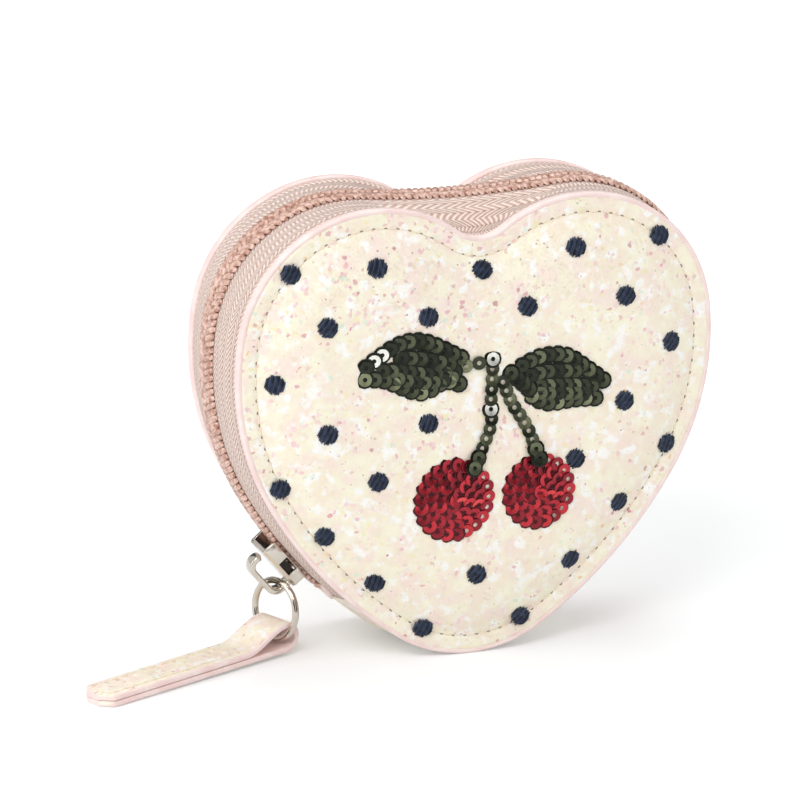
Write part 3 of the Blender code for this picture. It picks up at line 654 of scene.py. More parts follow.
# %% Glitter finish
FINE_FLAKES, WIDE_FLAKES = 2200.0, 1250.0
# Scale, shift, start and end of the mask in the noise, strength and colour.
PATCHES = (
    (210.0, 3.1, 0.48, 0.66, 0.7, "fae2da"),
    (420.0, 7.7, 0.54, 0.66, 0.9, "fffefb"),
    (700.0, 5.3, 0.60, 0.72, 0.5, "e9d9be"),
)
CHIPS = ((0.0, "fffdf6"), (0.22, "f5ecbb"), (0.34, "d9ecda"), (0.40, "f8d3d8"), (0.62, "eeb9c2"),
         (0.80, "dd98a6"), (0.93, "c97f8f"), (0.98, "f2bd80"))


def glitter(name):
    """A fabric of tiny flakes in soft patches, with a few coloured chips."""
    tree, shader, made = finish(name, {"Specular IOR Level": 0.55})
    place = tree.place()

    def patches(scale, shift, low, high):
        """A soft mask that is 0 below LOW and 1 above HIGH of a noise."""
        return ((tree.noise(place + (shift, shift, shift), scale, 2.0) - low) / (high - low)).bounded()

    def flakes(scale):
        """The colour of each flake of a size, whole and as three random numbers."""
        cell = tree.node("ShaderNodeTexVoronoi", None, {"Vector": place, "Scale": scale}, "Color")
        parts = tree.node("ShaderNodeSeparateColor", None, {0: cell}).socket.node.outputs
        return cell, [Value(tree, part) for part in parts]

    fine, (fine_a, fine_b, fine_c) = flakes(FINE_FLAKES)
    _, (wide_a, wide_b, wide_c) = flakes(WIDE_FLAKES)
    skin = patches(230.0, 0.0, 0.38, 0.62).mix("f8ead4", "fbf5dc")
    for scale, shift, low, high, share, shade in PATCHES:
        skin = (patches(scale, shift, low, high) * share).mix(skin, shade)
    skin = (fine_a * 0.16).mix(skin, "fffaf0")
    tint = tree.ramp(CHIPS, wide_b, interpolation="CONSTANT")
    sideways, _, height = tree.split(place)
    upper_left = ((height - sideways) * 8.0 + 0.55).bounded()
    crowd = patches(130.0, 1.7, 0.44, 0.62) * (upper_left * 0.8 + 0.2)
    chip = wide_a > 0.980 - crowd * 0.26
    skin = (chip * (wide_c * 0.5 + 0.3)).mix(skin, tint)
    tilt = tree.node("ShaderNodeVectorMath", {"operation": "SUBTRACT"}, {0: fine, 1: (0.5, 0.5, 0.5)})
    normal = (tree.node("ShaderNodeNewGeometry", output="Normal") + tilt * 0.22).maths("NORMALIZE")
    metal = (fine_c > 0.8) * 0.22 + chip * 0.2
    tree.feed(shader, {"Base Color": skin, "Normal": normal, "Roughness": 0.30 + fine_b * 0.3,
                       "Metallic": metal})
    return made


IVORY = glitter("ivory_film")
print("finish:", IVORY.name)

# %% [markdown]
# ## Edge paint, thread, lining, board and foam
# The panels' cut edges are sealed with thick paint that levels into a soft bead, with faint unevenness. The
# lining is sateen, whose long floats run one way, so its bump is stretched noise. The board is grey card with
# fibres. Each is a simple finish, but none is a flat colour, because the light shows a surface's grain.

# %% Plain finishes
def grained(name, low, high, grain, depth, rough, constants=None, stretch=(1, 1, 1)):
    """A finish between two colours by noise of a GRAIN, which also gives a bump DEPTH deep."""
    tree, shader, made = finish(name, constants or {})
    field = tree.noise(tree.place() * stretch, grain, 4.0)
    bump = tree.bump(0.6, depth, field)
    mask = ((field - 0.35) * 3.3).bounded()
    tree.feed(shader, {"Base Color": mask.mix(low, high), "Normal": bump, "Roughness": rough + field * 0.15})
    return made


BLUSH = grained("blush_paint", "f4d7d2", "fbe7e2", 260.0, 0.12 * MM, 0.34,
                {"Coat Weight": 0.15, "Coat Roughness": 0.25})
CREAM_THREAD = grained("cream_thread", "e9d9bf", "f6ead6", 2600.0, 0.1 * MM, 0.6)
# Painted shade: the needle holes' brown stands for the shade inside each hole.
HOLE_SHADE = grained("needle_hole", "7a6552", "957f68", 3000.0, 0.1 * MM, 0.8)
SATEEN = grained("cream_sateen", "d8c8b4", "eadccb", 900.0, 0.2 * MM, 0.6, {"Sheen Weight": 0.2}, (1, 1, 7))
GREYBOARD = grained("pressed_board", "9b968d", "b5b0a6", 1400.0, 0.2 * MM, 0.8, stretch=(1, 4, 1))
FOAM = grained("soft_foam", "e4e2db", "f3f1ea", 2400.0, 0.4 * MM, 0.85)
for name in ("front_board", "back_board"):
    nodes[name].data.materials.clear()
    nodes[name].data.materials.append(GREYBOARD)
print("finishes:", len(bpy.data.materials))

# %% [markdown]
# ## The padded front panel
# The front is glitter fabric over thin foam on a stiff board. It is flat at the sewn margin and swells inside
# it, with a shallow groove where the stitches pull it in. Cloth simulation is the usual way to a cushion. Here
# the rise is only 3 mm, even all round and held by a board, so rows at growing insets give it directly.

# %% The crown's rise
CROWN, SEAM_MARGIN, CROWN_WIDTH, SEAM = 3.2 * MM, 4.3 * MM, 21.5 * MM, 4.0 * MM
CROWN_CURVE = ((0.13, 0.38), (0.31, 0.72), (0.54, 0.93), (1, 1))
SMOOTHING, SAMPLES = 1.0 * MM, 4
GROOVE_WIDTH, FRONT_GROOVE, BACK_GROOVE = 0.55 * MM, 0.28 * MM, 0.25 * MM
RISE = [(0, 0), (SEAM_MARGIN, 0)]
RISE += [(SEAM_MARGIN + CROWN_WIDTH * across, CROWN * share) for across, share in CROWN_CURVE]


def groove_at(inset, depth):
    """How far the stitches pull the fabric in at INSET."""
    return depth * math.exp(-((inset - SEAM) / GROOVE_WIDTH) ** 2)


def rise_at(inset):
    """The crown's height at INSET, smoothed over the CAD's straight runs."""
    total = 0
    for step in range(-SAMPLES, SAMPLES + 1):
        place = min(max(inset + SMOOTHING * step / SAMPLES, 0), RISE[-1][0])
        for (inset_a, height_a), (inset_b, height_b) in zip(RISE, RISE[1:]):
            if place <= inset_b:
                total += height_a + (height_b - height_a) * (place - inset_a) / (inset_b - inset_a)
                break
    return total / (2 * SAMPLES + 1) - groove_at(inset, FRONT_GROOVE)


print("rise in the middle: %.2f mm" % (rise_at(1) / MM))

# %% Front skin and its foam
SKIN, SKIN_EDGE, FLANGE_REACH, GAP = 0.7 * MM, 0.85 * MM, 6.0 * MM, 0.3 * MM


def crowned(rows, below):
    """A loop of points for each inset and rise in ROWS, at a distance BELOW the crowned face."""
    return [[world(point, HEART_DEPTH + rise - below) for point in whole_line(inset)] for inset, rise in rows]


# The rows are close across the seam's groove and wider over the crown.
insets = [(1.2 + step * 0.35) * MM for step in range(18)] + [(8 + step * 1.27) * MM for step in range(15)]
skin_rows = [(SKIN_EDGE, -0.25 * MM)] + [(inset, rise_at(inset)) for inset in insets]
outer = crowned(skin_rows, 0)
front_skin = loft("front_skin", outer[::-1] + crowned(skin_rows, SKIN), [IVORY], ring=True, caps=True)
settle(front_skin, "front_half", "ivory_glitter", "front_panel")

foam_rows = [(inset, rise_at(inset)) for inset in insets if inset > FLANGE_REACH + GAP]
base = [world(point, HEART_DEPTH - SKIN) for point in whole_line(FLANGE_REACH + GAP)]
foam = loft("front_foam", [base] + crowned(foam_rows, SKIN + GAP), [FOAM], ring=True, caps=True)
settle(foam, "front_half", "white_foam", "front_padding")

# %% [markdown]
# ## The back panel, gusset and linings
# The back is the same fabric laid flat on its board, and the gusset is a plain strip of it round the tip.
# Their corners are turned over softly. The linings are thin cloth inside, seen only when the purse is open.

# %% Back skin and linings
LINING, BOARD, LAYER_MIDDLE, TURNED_EDGE = 0.4 * MM, 0.8 * MM, 24 * MM, 0.3 * MM
UNDER_BOARD = SKIN + GAP + BOARD + GAP
FACES = (("front", True), ("back", False))


def depth_at(front, distance):
    """The depth in the heart of a DISTANCE in from the front's face, or from the back's."""
    return HEART_DEPTH - distance if front else distance


def flat_layer(name, front, inset, near, far, look, groove=0.0):
    """A flat layer of cloth, in from INSET, between two distances from its panel's face, with a round edge."""
    rows = [(LAYER_MIDDLE, near)] + [(inset + step * 0.4 * MM, near) for step in range(14, 0, -1)]
    for angle in between(0, math.pi, 6):
        distance = (near + far - (far - near) * math.cos(angle)) / 2
        rows.append((inset + TURNED_EDGE * (1 - math.sin(angle)), distance))
    rows.append((LAYER_MIDDLE, far))
    loops = []
    for place, distance in rows:
        if distance == near:
            distance += groove_at(place, groove)
        loops.append([world(point, depth_at(front, distance)) for point in whole_line(place)])
    return loft(name, loops, [look], ring=True, caps=True)


back_skin = flat_layer("back_skin", False, SKIN_EDGE, 0.0, SKIN, IVORY, BACK_GROOVE)
settle(back_skin, "back_half", "ivory_glitter", "back_panel")
for word, front in FACES:
    cloth = flat_layer(word + "_lining_cloth", front, FLANGE_REACH + GAP, UNDER_BOARD, UNDER_BOARD + LINING,
                       SATEEN)
    settle(cloth, word + "_half", "cream_lining", word + "_lining")

# %% Gusset and its lining
GUSSET, GUSSET_INSET, GUSSET_BULGE, WALL_START = 0.9 * MM, 0.8 * MM, 1.5 * MM, 3.4 * MM
TAPE, TUCK, FLANGE_NEAR, FLANGE_FAR = 0.6 * MM, 1.3 * MM, 1.0 * MM, 1.6 * MM
WALL_FOOT, INNER_FOOT, LIP_ROUND = 3.8 * MM, 3.7 * MM, 0.4 * MM
lip = HEART_DEPTH - UNDER_BOARD - LINING - GAP
wall_middle, wall_half = (lip + WALL_START) / 2, (lip - WALL_START) / 2
tip_end = ZIP_END - GAP / FLANK_RADIUS


def round_tip(inset, angle):
    """Points from ANGLE on the left flank, round the tip, to ANGLE on the right flank."""
    right_side = half_line(PANEL_ARCS, inset, TIP, (1, angle))
    return mirrored(right_side)[::-1] + right_side[1:]


def round_the_tip(name, section, look, slot, replaced):
    """A strip round the tip that bellies out between the panels on the flanks, but not at the tip itself."""
    foot = TIP_RADIUS * math.cos(FLANK_START)
    lines = []
    for inset, distance in section:
        share = max(1 - ((distance - wall_middle) / wall_half) ** 2, 0)
        pairs = zip(round_tip(inset, tip_end), round_tip(inset - GUSSET_INSET - GUSSET_BULGE, tip_end))
        lines.append([world(a.lerp(b, share * min(abs(a.x) / foot, 1)), distance) for a, b in pairs])
    strip_made = loft(name, list(zip(*lines)), [look], ring=True, caps=True)
    settle(strip_made, "back_half", slot, replaced)


# The section as inset and distance from the back: out of the seam, round the paint, over the wall and back.
face, back_face = GUSSET_INSET, GUSSET_INSET + GUSSET
section = [(FLANGE_REACH, FLANGE_NEAR), (TUCK, FLANGE_NEAR), (TUCK, 2.35 * MM), (face - 0.1 * MM, 2.7 * MM)]
section += [(face, distance) for distance in between(WALL_FOOT, lip - LIP_ROUND, 12)]
section += [(face + 0.25 * MM, lip), (back_face - 0.25 * MM, lip)]
section += [(back_face, distance) for distance in between(lip - LIP_ROUND, INNER_FOOT, 12)]
section += [(TUCK + TAPE, 3.1 * MM), (TUCK + TAPE, FLANGE_FAR), (FLANGE_REACH, FLANGE_FAR)]
round_the_tip("gusset_strip", section, IVORY, "ivory_glitter", "bottom_gusset")
low, wall = back_face + GAP, between(WALL_START, lip, 12)
section = [(low, distance) for distance in wall] + [(low + LINING, distance) for distance in wall[::-1]]
round_the_tip("gusset_lining_cloth", section, SATEEN, "cream_lining", "bottom_gusset_lining")

# %% [markdown]
# ## Painted edges
# Edge paint is put on in coats, and each coat levels into a round-shouldered bead. A section with generous
# corners, carried round the outline and drawn in a little here and there by noise, has that look.

# %% Edge beads
PAINT_WIDTH, PAINT_DEPTH, PAINT_CORNER = 1.1 * MM, 2.2 * MM, 0.5 * MM
UNEVENNESS, UNEVEN_SCALE = 0.05, 350


def edge_bead(name, front):
    """The bead of paint round a panel's cut edge."""
    lines = []
    for spot in rounded_box(PAINT_WIDTH / 2, PAINT_DEPTH / 2, PAINT_CORNER, 4):
        depth = depth_at(front, PAINT_DEPTH / 2 + spot.y)
        lines.append([world(point, depth) for point in whole_line(PAINT_WIDTH / 2 + spot.x)])
    loops = []
    for loop in zip(*lines):
        middle = sum(loop, Vector()) / len(loop)
        swell = min(1 + UNEVENNESS * noise.noise(middle * UNEVEN_SCALE), 1.0)
        loops.append([middle + (point - middle) * swell for point in loop])
    return loft(name, loops, [BLUSH], ring=True, hoop=True)


for word, front in FACES:
    settle(edge_bead(word + "_edge_bead", front), word + "_half", "blush_edge_paint", word + "_edge_paint")

# %% [markdown]
# ## Zip tape
# Zip tape is woven with a herringbone, so its threads form rows of small Vs along its length. The UV map runs
# along the tape in metres, and two masks make the Vs from it: a folded distance across, added to the distance
# along, then cut into stripes. A dark line of stitches runs beside the front panel. The front tape is one
# piece from end to end.

# %% Tape finish
MID_DEPTH = HEART_DEPTH / 2
CHEVRON, CHEVRON_SLANT, RIB_PITCH = 2.6 * MM, 3.4, 1.0 * MM
TAPE_STITCH, TAPE_SEAM, TAPE_THREAD = 1.3 * MM, 7.8 * MM, 0.22 * MM


def woven(name, low, high):
    """Herringbone tape, by its UV map in metres, with its ribs and grooves also painted light and dark as their
    shade, and a line of stitches on the front half.
    """
    tree, shader, made = finish(name, {"Sheen Weight": 0.25, "Sheen Roughness": 0.5})
    place = tree.place("UV")
    along, across, _ = tree.split(place)
    fold = ((across / CHEVRON).maths("FRACT") - 0.5).maths("ABSOLUTE")
    shaded_rib = ((along / RIB_PITCH + fold * CHEVRON_SLANT) * math.tau).maths("SINE") * 0.5 + 0.5
    shaded_valley = 1 - (fold * 9).maths("MINIMUM", 1.0)
    fuzz = tree.noise(place, 4200.0, 3.0)
    bump = tree.bump(0.8, 0.3 * MM, shaded_rib - shaded_valley * 0.5 + fuzz * 0.6)
    # Painted shade: the colour follows the relief, lighter on the ribs and darker in the grooves of the Vs.
    shade = (shaded_rib * 0.8 + fuzz * 0.35 - shaded_valley * 0.2).bounded()
    front = tree.split(tree.place())[1] < -MID_DEPTH
    thread = (across - TAPE_SEAM).maths("ABSOLUTE") < TAPE_THREAD
    thread = thread * ((along / TAPE_STITCH).maths("FRACT") > 0.22) * front
    skin = (thread * 0.6).mix(shade.mix(low, high), "b08478")
    tree.feed(shader, {"Base Color": skin, "Normal": bump, "Roughness": 0.75 + fuzz * 0.2})
    return made


ROSE = woven("rose_herringbone", "bf8f7b", "fff0e7")
ROSE_PATCH = grained("rose_patch", "f5d9d2", "fdeae5", 420.0, 0.08 * MM, 0.5, {"Sheen Weight": 0.2})
print("finishes:", ROSE.name, ROSE_PATCH.name)

# %% [markdown]
# The tape starts under the panel, turns down round its painted edge and then bulges out to carry the coil.

# %% Tapes
CHAIN_BULGE, POST_SLOT, COIL_WIDTH = 0.9 * MM, 1.4 * MM, 2.4 * MM
SLOT_EDGE = MID_DEPTH - POST_SLOT / 2
SHELF = SLOT_EDGE - COIL_WIDTH - 0.6 * MM
BEND_START = math.radians(-45)


def smooth_line(points, steps):
    """A smooth line through POINTS, by Catmull and Rom's rule."""
    line = []
    for index in range(len(points) - 1):
        p0, p1 = points[max(index - 1, 0)], points[index]
        p2, p3 = points[index + 1], points[min(index + 2, len(points) - 1)]
        for step in range(steps):
            t = step / steps
            line.append(0.5 * (2 * p1 + (p2 - p0) * t + (2 * p0 - 5 * p1 + 4 * p2 - p3) * t * t
                               + (3 * p1 - p0 - 3 * p2 + p3) * t**3))
    return line + [points[-1]]


def tape_rows():
    """The tape's section as inset, distance from the face and share of the chain's line, outer then inner."""
    wall = ((TUCK, 2.35 * MM, 0), (0.35 * MM, 2.5 * MM, 0.03), (0, 4.2 * MM, 0.15),
            (-0.7 * CHAIN_BULGE, 7.0 * MM, 0.6), (-CHAIN_BULGE, SHELF, 1), (-CHAIN_BULGE, SLOT_EDGE, 1))
    wall = smooth_line([Vector(spot) for spot in wall], 5)
    inner_side = [Vector((point.x + TAPE, point.y, point.z)) for point in wall[::-1]]
    flange = [Vector((FLANGE_REACH, FLANGE_NEAR, 0)), Vector((TUCK, FLANGE_NEAR, 0))]
    inner_flange = [Vector((TUCK + TAPE, FLANGE_FAR, 0)), Vector((FLANGE_REACH, FLANGE_FAR, 0))]
    return flange + wall + inner_side + inner_flange


def zip_tape(name, front):
    """One tape, from its end on the left flank over the top to its end on the right flank."""
    lines = []
    for row in tape_rows():
        at_panel, at_chain = over_top(PANEL_ARCS, row.x, ZIP_END), over_top(CHAIN_ARCS, row.x, ZIP_END)
        lines.append([world(a.lerp(b, row.z), depth_at(front, row.y)) for a, b in zip(at_panel, at_chain)])
    piece = loft(name, lines, [ROSE], hoop=True)
    bm = bmesh.new()
    bm.from_mesh(piece.data)
    bmesh.ops.holes_fill(bm, edges=[edge for edge in bm.edges if edge.is_boundary])
    bmesh.ops.recalc_face_normals(bm, faces=bm.faces)
    bm.to_mesh(piece.data)
    bm.free()
    return piece


settle(zip_tape("back_tape", False), "back_half", "rose_tape", "zip_tape_back")
front_tape = zip_tape("front_tape", True)
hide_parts("zip_tape_front", "zip_tape_tail_left", "zip_tape_tail_right")
low_place, high_place = [FLANK_CENTRE + toward(angle) * FLANK_RADIUS for angle in (BEND_START, TAIL_END)]
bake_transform(front_tape)
print("front tape bends between heights", round(low_place.y, 4), round(high_place.y, 4))

# %% [markdown]
# ## Nylon coil
# A coil zip is one filament per tape, wound so that its loops reach over each other in the middle. Modelling
# the filament as one long spiral is possible, but heavy. A single slanted loop, repeated every 1.43 mm by the
# path tree, gives the same rope-like rows. The two rows are set off by half a pitch, as when they mesh.

# %% Coil finish and teeth
COPPER = grained("copper_nylon", "a9745f", "eecdbe", 1000.0, 0.04 * MM, 0.30,
                 {"Coat Weight": 0.4, "Coat Roughness": 0.12})
TOOTH_PITCH, COIL_HEIGHT, COIL_SLANT, COIL_MIDDLE = 1.43 * MM, 1.9 * MM, 0.8, 1.6
COIL_END = ZIP_END + 2.6 * MM / FLANK_RADIUS
# Reach to the side, lift, half width and half height of the filament, in millimetres.
COIL_LOOP = ((3.15, -0.22, 0.42, 0.26), (3.0, 0.06, 0.62, 0.36), (2.6, 0.30, 0.69, 0.42),
             (1.9, 0.40, 0.71, 0.44), (1.1, 0.40, 0.71, 0.44), (0.5, 0.30, 0.69, 0.42),
             (0.12, 0.12, 0.46, 0.28))


def coil_loop(name, side):
    """One loop of the filament, from its foot at the tape's side up and over to the middle."""
    line = [Vector((COIL_SLANT * (reach / COIL_MIDDLE - 1), side * reach, lift)) * MM
            for reach, lift, _, _ in COIL_LOOP]
    return bar(name, line, [(wide * MM, tall * MM) for _, _, wide, tall in COIL_LOOP], 8, COPPER)


def chain_path(name, shift):
    """The chain's middle line, from one end of the coil to the other, less SHIFT at both ends."""
    start = COIL_END + shift / FLANK_RADIUS
    points, farther = [over_top(CHAIN_ARCS, -CHAIN_BULGE - GAP - more, start) for more in (0, 1 * MM)]
    outs = [(world(b, 0) - world(a, 0)).normalized() for a, b in zip(points, farther)]
    return path_mesh(name, [world(point, MID_DEPTH) for point in points], outs)


tail_height = high_place.y + TIP_HEIGHT + 0.4 * MM
front_loop, back_loop = coil_loop("front_loop", -1), coil_loop("back_loop", 1)
front_path, back_path = chain_path("front_path", 0), chain_path("back_path", TOOTH_PITCH / 2)
front_coil = grow("front_coil", front_path, path_tree, front_loop, COPPER, Pitch=TOOTH_PITCH, Low=tail_height)
tail_coil = grow("tail_coil", front_path, path_tree, front_loop, COPPER, Pitch=TOOTH_PITCH, High=tail_height)
back_coil = grow("back_coil", back_path, path_tree, back_loop, COPPER, Pitch=TOOTH_PITCH)
settle(front_coil, "front_half", "rose_nylon_coil", "zip_coil_front")
settle(tail_coil, "back_half", "rose_nylon_coil", "zip_coil_tail_left", "zip_coil_tail_right")
settle(back_coil, "back_half", "rose_nylon_coil", "zip_coil_back")
drop(front_loop, back_loop, front_path, back_path)

# %% [markdown]
# ## End tabs
# The ends of the chain are covered by a folded bit of tape with a round lower edge. It lies on the tape and
# then steps up onto the gusset, so its section is lifted by a smooth step along the flank, and droops at
# its sides.

# %% End tabs
TAB_HALF, TAB_LENGTH, TAB_CORNER, TAB_TOP = 5.2 * MM, 4.8 * MM, 3.0 * MM, 3.2 * MM
TAB_EDGE, TAB_SWELL, TAB_DROOP = 0.18 * MM, 0.30 * MM, 0.7 * MM


def end_tab(name, side):
    """The round-ended patch over one end of the chain."""
    rows = []
    for turn in between(0, math.pi, 16):
        run = TAB_LENGTH * (1 - math.cos(turn)) / 2
        back_off = max(TAB_CORNER - (TAB_LENGTH - run), 0)
        width = TAB_HALF - TAB_CORNER + math.sqrt(max(TAB_CORNER**2 - back_off**2, (0.02 * MM) ** 2))
        place = ZIP_END + (TAB_TOP - run) / FLANK_RADIUS
        half_thick = TAB_EDGE + TAB_SWELL * math.sin(math.pi * run / TAB_LENGTH)
        ease = min(run / TAB_TOP, 1)
        step_up = (GUSSET_BULGE - CHAIN_BULGE - 0.2 * MM) * ease * ease * (3 - 2 * ease)
        height = FLANK_RADIUS + CHAIN_BULGE + GAP + step_up + half_thick
        row = []
        for spot in rounded_box(width, half_thick, half_thick * 0.9, 3):
            droop = (GUSSET_INSET + GUSSET_BULGE) * (spot.x / wall_half) ** 2 * ease
            droop += TAB_DROOP * (spot.x / TAB_HALF) ** 4
            flat = FLANK_CENTRE + toward(place) * (height + spot.y - droop)
            row.append(world(Vector((flat.x * side, flat.y)), MID_DEPTH + spot.x))
        rows.append(row)
    return loft(name, rows, [ROSE_PATCH], ring=True, caps=True)


for word, side in (("left", -1), ("right", 1)):
    settle(end_tab("end_tab_cloth_" + word, side), "back_half", "rose_tape", "zip_end_tab_" + word)

# %% [markdown]
# ## Slider and hook
# The slider is die-cast and then plated, so its edges are soft and its faces are mirrors. Mirrors only look
# like metal when there is something to reflect, and soft edges catch thin highlights. Both matter more here
# than any texture, so the body is a channel section with bevelled edges, and the hook is a swept strip.

# %% Nickel, and the painted shade inside the casting
tree, shader, NICKEL = finish("bright_nickel", {"Metallic": 1.0})
haze = tree.noise(tree.place(), 260.0, 4.0)
bump = tree.bump(0.25, 0.03 * MM, tree.noise(tree.place() * (1, 1, 9), 1500.0, 3.0))
tree.feed(shader, {"Base Color": haze.mix("bdb3a6", "e8e1d7"), "Normal": bump, "Roughness": 0.07 + haze * 0.12})
# Painted shade: a dark metal for the wedge under the slider's roof, for the shade inside the channel.
PAINTED_SHADE_METAL = grained("dark_oxide", "1d1815", "322a25", 900.0, 0.03 * MM, 0.4, {"Metallic": 0.3})
print("finishes:", NICKEL.name, PAINTED_SHADE_METAL.name)

# %% [markdown]
# The frames of the slider, the ring and the strap follow the CAD. In the slider's frame X runs up the chain,
# Y to the back and Z straight out of the tape. The ring hangs in the hook and leans a little, and the strap
# runs from the ring down to the floor.

# %% Frames of slider, ring and strap
SLIDER_TURN, PULL_YAW = math.radians(-40.6), math.radians(22.5)
RING_LEAN, RING_ROLL = math.radians(5), math.radians(6)
SLIDER_LENGTH, SLIDER_WIDTH, SLIDER_PLATE = 10.6 * MM, 8.6 * MM, 1.0 * MM
ROOF = GAP + COIL_HEIGHT + 0.7 * MM
DECK = ROOF + SLIDER_PLATE
HOOK_BAND, HOOK_WIDTH, HOOK_OPENING = 1.2 * MM, 3.0 * MM, 3.3 * MM
RING_RADIUS, RING_WIRE, STRAP, STRAP_WIDTH = 6.0 * MM, 0.7 * MM, 1.2 * MM, 8.8 * MM
STRAP_LENGTH, LOOP_RADIUS, LOOP_RISE = 52.0 * MM, 2.0 * MM, 1.0 * MM

outward = toward(SLIDER_TURN)
place = FLANK_CENTRE + outward * (FLANK_RADIUS + CHAIN_BULGE)
slider_frame = frame_of((outward.y, 0, outward.x), (0, 1, 0), (-outward.x, 0, outward.y),
                        world(Vector((-place.x, place.y)), MID_DEPTH))

foot_x = -SLIDER_LENGTH / 2 + 0.2 * MM
seat = slider_frame @ Vector((foot_x + HOOK_BAND / 2 + 1.3 * MM, 0, DECK + HOOK_OPENING / 2))
away = Vector((-math.cos(PULL_YAW), -math.sin(PULL_YAW), 0))
width_way = Vector((math.sin(PULL_YAW), -math.cos(PULL_YAW), 0))
ring_up = Vector((0, 0, math.cos(RING_LEAN))) - away * math.sin(RING_LEAN)
radial = ring_up * math.cos(RING_ROLL) - width_way * math.sin(RING_ROLL)
tangent = width_way * math.cos(RING_ROLL) + ring_up * math.sin(RING_ROLL)
ring_frame = frame_of(tangent.cross(radial), tangent, radial, seat)
knot = seat - radial * RING_RADIUS - ring_up * (RING_RADIUS - LOOP_RISE)
corner = Vector((STRAP_LENGTH - LOOP_RADIUS - STRAP, LOOP_RADIUS + STRAP))
pitch = math.asin((knot.z - TIP_HEIGHT) / corner.length) - math.atan2(corner.y, corner.x)
along = away * math.cos(pitch) - Vector((0, 0, math.sin(pitch)))
strap_frame = frame_of(along, width_way, along.cross(width_way), knot)
print("hook seat:", [round(part, 4) for part in seat], "strap's knot:", [round(part, 4) for part in knot])

# %% Hook
def strip(name, line, half_widths, thickness, edge, looks, matrix, steps=3):
    """A strip with round edges along a LINE in X and Z, with its half width at each point."""
    rows = []
    for index, point in enumerate(line):
        before, after = line[max(index - 1, 0)], line[min(index + 1, len(line) - 1)]
        direction = (after - before).normalized()
        across = Vector((-direction.y, direction.x))
        row = []
        for spot in rounded_box(half_widths[index], thickness / 2, edge, steps):
            place = point + across * spot.y
            row.append(Vector((place.x, spot.x, place.y)))
        rows.append(row)
    return loft(name, rows, looks, ring=True, caps=True, matrix=matrix)


FOOT_BEND, TIP_BEND, HOOK_SPAN, HOOK_END = 2.0 * MM, 1.9 * MM, 4.9 * MM, math.radians(-38)
ridge = DECK + HOOK_OPENING + HOOK_BAND / 2
foot_bend = Vector((foot_x + FOOT_BEND, ridge - FOOT_BEND))
tip_bend = Vector((foot_bend.x + HOOK_SPAN, ridge - TIP_BEND))
hook_line = [Vector((foot_x, DECK - SLIDER_PLATE / 2)), Vector((foot_x, (DECK + foot_bend.y) / 2))]
hook_line += arc(foot_bend, FOOT_BEND, math.pi, math.pi / 2, 10)
hook_line += arc(tip_bend, TIP_BEND, math.pi / 2, HOOK_END, 12)
hook_halves = [HOOK_WIDTH / 2] * (len(hook_line) - 2) + [HOOK_WIDTH / 2 * 0.96, HOOK_WIDTH / 2 * 0.8]
hook = strip("hook_strip", hook_line, hook_halves, HOOK_BAND, 0.35 * MM, [NICKEL], slider_frame)
print("hook: %.1f mm of band" % (running(hook_line, False)[-1] / MM))

# %% Helpers for the slider's casting
def applied(piece):
    """PIECE with its modifiers carried out and taken off."""
    mesh = evaluated(piece)
    piece.modifiers.clear()
    piece.data = mesh
    return piece


def bevelled(piece, width, segments):
    """PIECE with its sharp edges rounded."""
    modifier = piece.modifiers.new("soft_edges", "BEVEL")
    modifier.width = width
    modifier.segments = segments
    modifier.limit_method = "ANGLE"
    modifier.angle_limit = math.radians(30)
    applied(piece).data.shade_smooth()
    return piece


def slab(name, low, high, corner, look=NICKEL):
    """A plate between two corners, in the slider's frame, with its upright edges rounded."""
    centre, half = (Vector(low) + Vector(high)) / 2, (Vector(high) - Vector(low)) / 2
    outline = [centre.xy + spot for spot in rounded_box(half.x, half.y, corner, 4)]
    rows = [[Vector((spot.x, spot.y, z)) for spot in outline] for z in (low[2], high[2])]
    return loft(name, rows, [look], ring=True, caps=True, matrix=slider_frame)


def windowed(piece, low, high):
    """PIECE with a box between two corners of the slider's frame cut out of it."""
    cutter = slab("window_cutter", low, high, 0.3 * MM)
    modifier = piece.modifiers.new("window", "BOOLEAN")
    modifier.operation = "DIFFERENCE"
    modifier.object = cutter
    applied(piece)
    drop(cutter)
    return piece

# %% Slider
SKIRT, WALL, SHOULDER = 0.7 * MM, 0.8 * MM, 0.6 * MM
# Places along the slider, as shares of its half length, and its width there.
SLIDER_PLAN = ((-1, 0.88), (-0.9, 0.93), (-0.6, 0.98), (0, 1.0), (0.6, 1.0), (0.92, 0.97), (1, 0.93))


def channel(name):
    """The slider's top plate with its two flanges, a little narrower at its lower end."""
    rows = []
    for share, narrow in SLIDER_PLAN:
        wide = SLIDER_WIDTH / 2 * narrow
        wall = wide - WALL
        outline = ((-wide, SKIRT), (-wall, SKIRT), (-wall, ROOF), (wall, ROOF), (wall, SKIRT), (wide, SKIRT),
                   (wide, DECK - SHOULDER), (wide - SHOULDER, DECK), (SHOULDER - wide, DECK),
                   (-wide, DECK - SHOULDER))
        rows.append([Vector((share * SLIDER_LENGTH / 2, y, z)) for y, z in outline])
    return loft(name, rows, [NICKEL], ring=True, caps=True, matrix=slider_frame)


shell = channel("slider_shell")
shell = windowed(shell, (-2.4 * MM, -5 * MM, 0.9 * MM), (1.0 * MM, -3.0 * MM, ROOF + 0.2 * MM))
shell = bevelled(shell, 0.2 * MM, 3)
low = -TAPE - 0.7 * MM
lower_plate = slab("lower_plate", (-4.5 * MM, -3.3 * MM, low - SLIDER_PLATE), (4.5 * MM, 3.3 * MM, low),
                   1.2 * MM)
lower_plate = bevelled(lower_plate, 0.2 * MM, 2)
post = slab("post", (-3.7 * MM, -0.35 * MM, low - 0.4 * MM), (-1.5 * MM, 0.35 * MM, DECK - 0.4 * MM), 0.2 * MM)
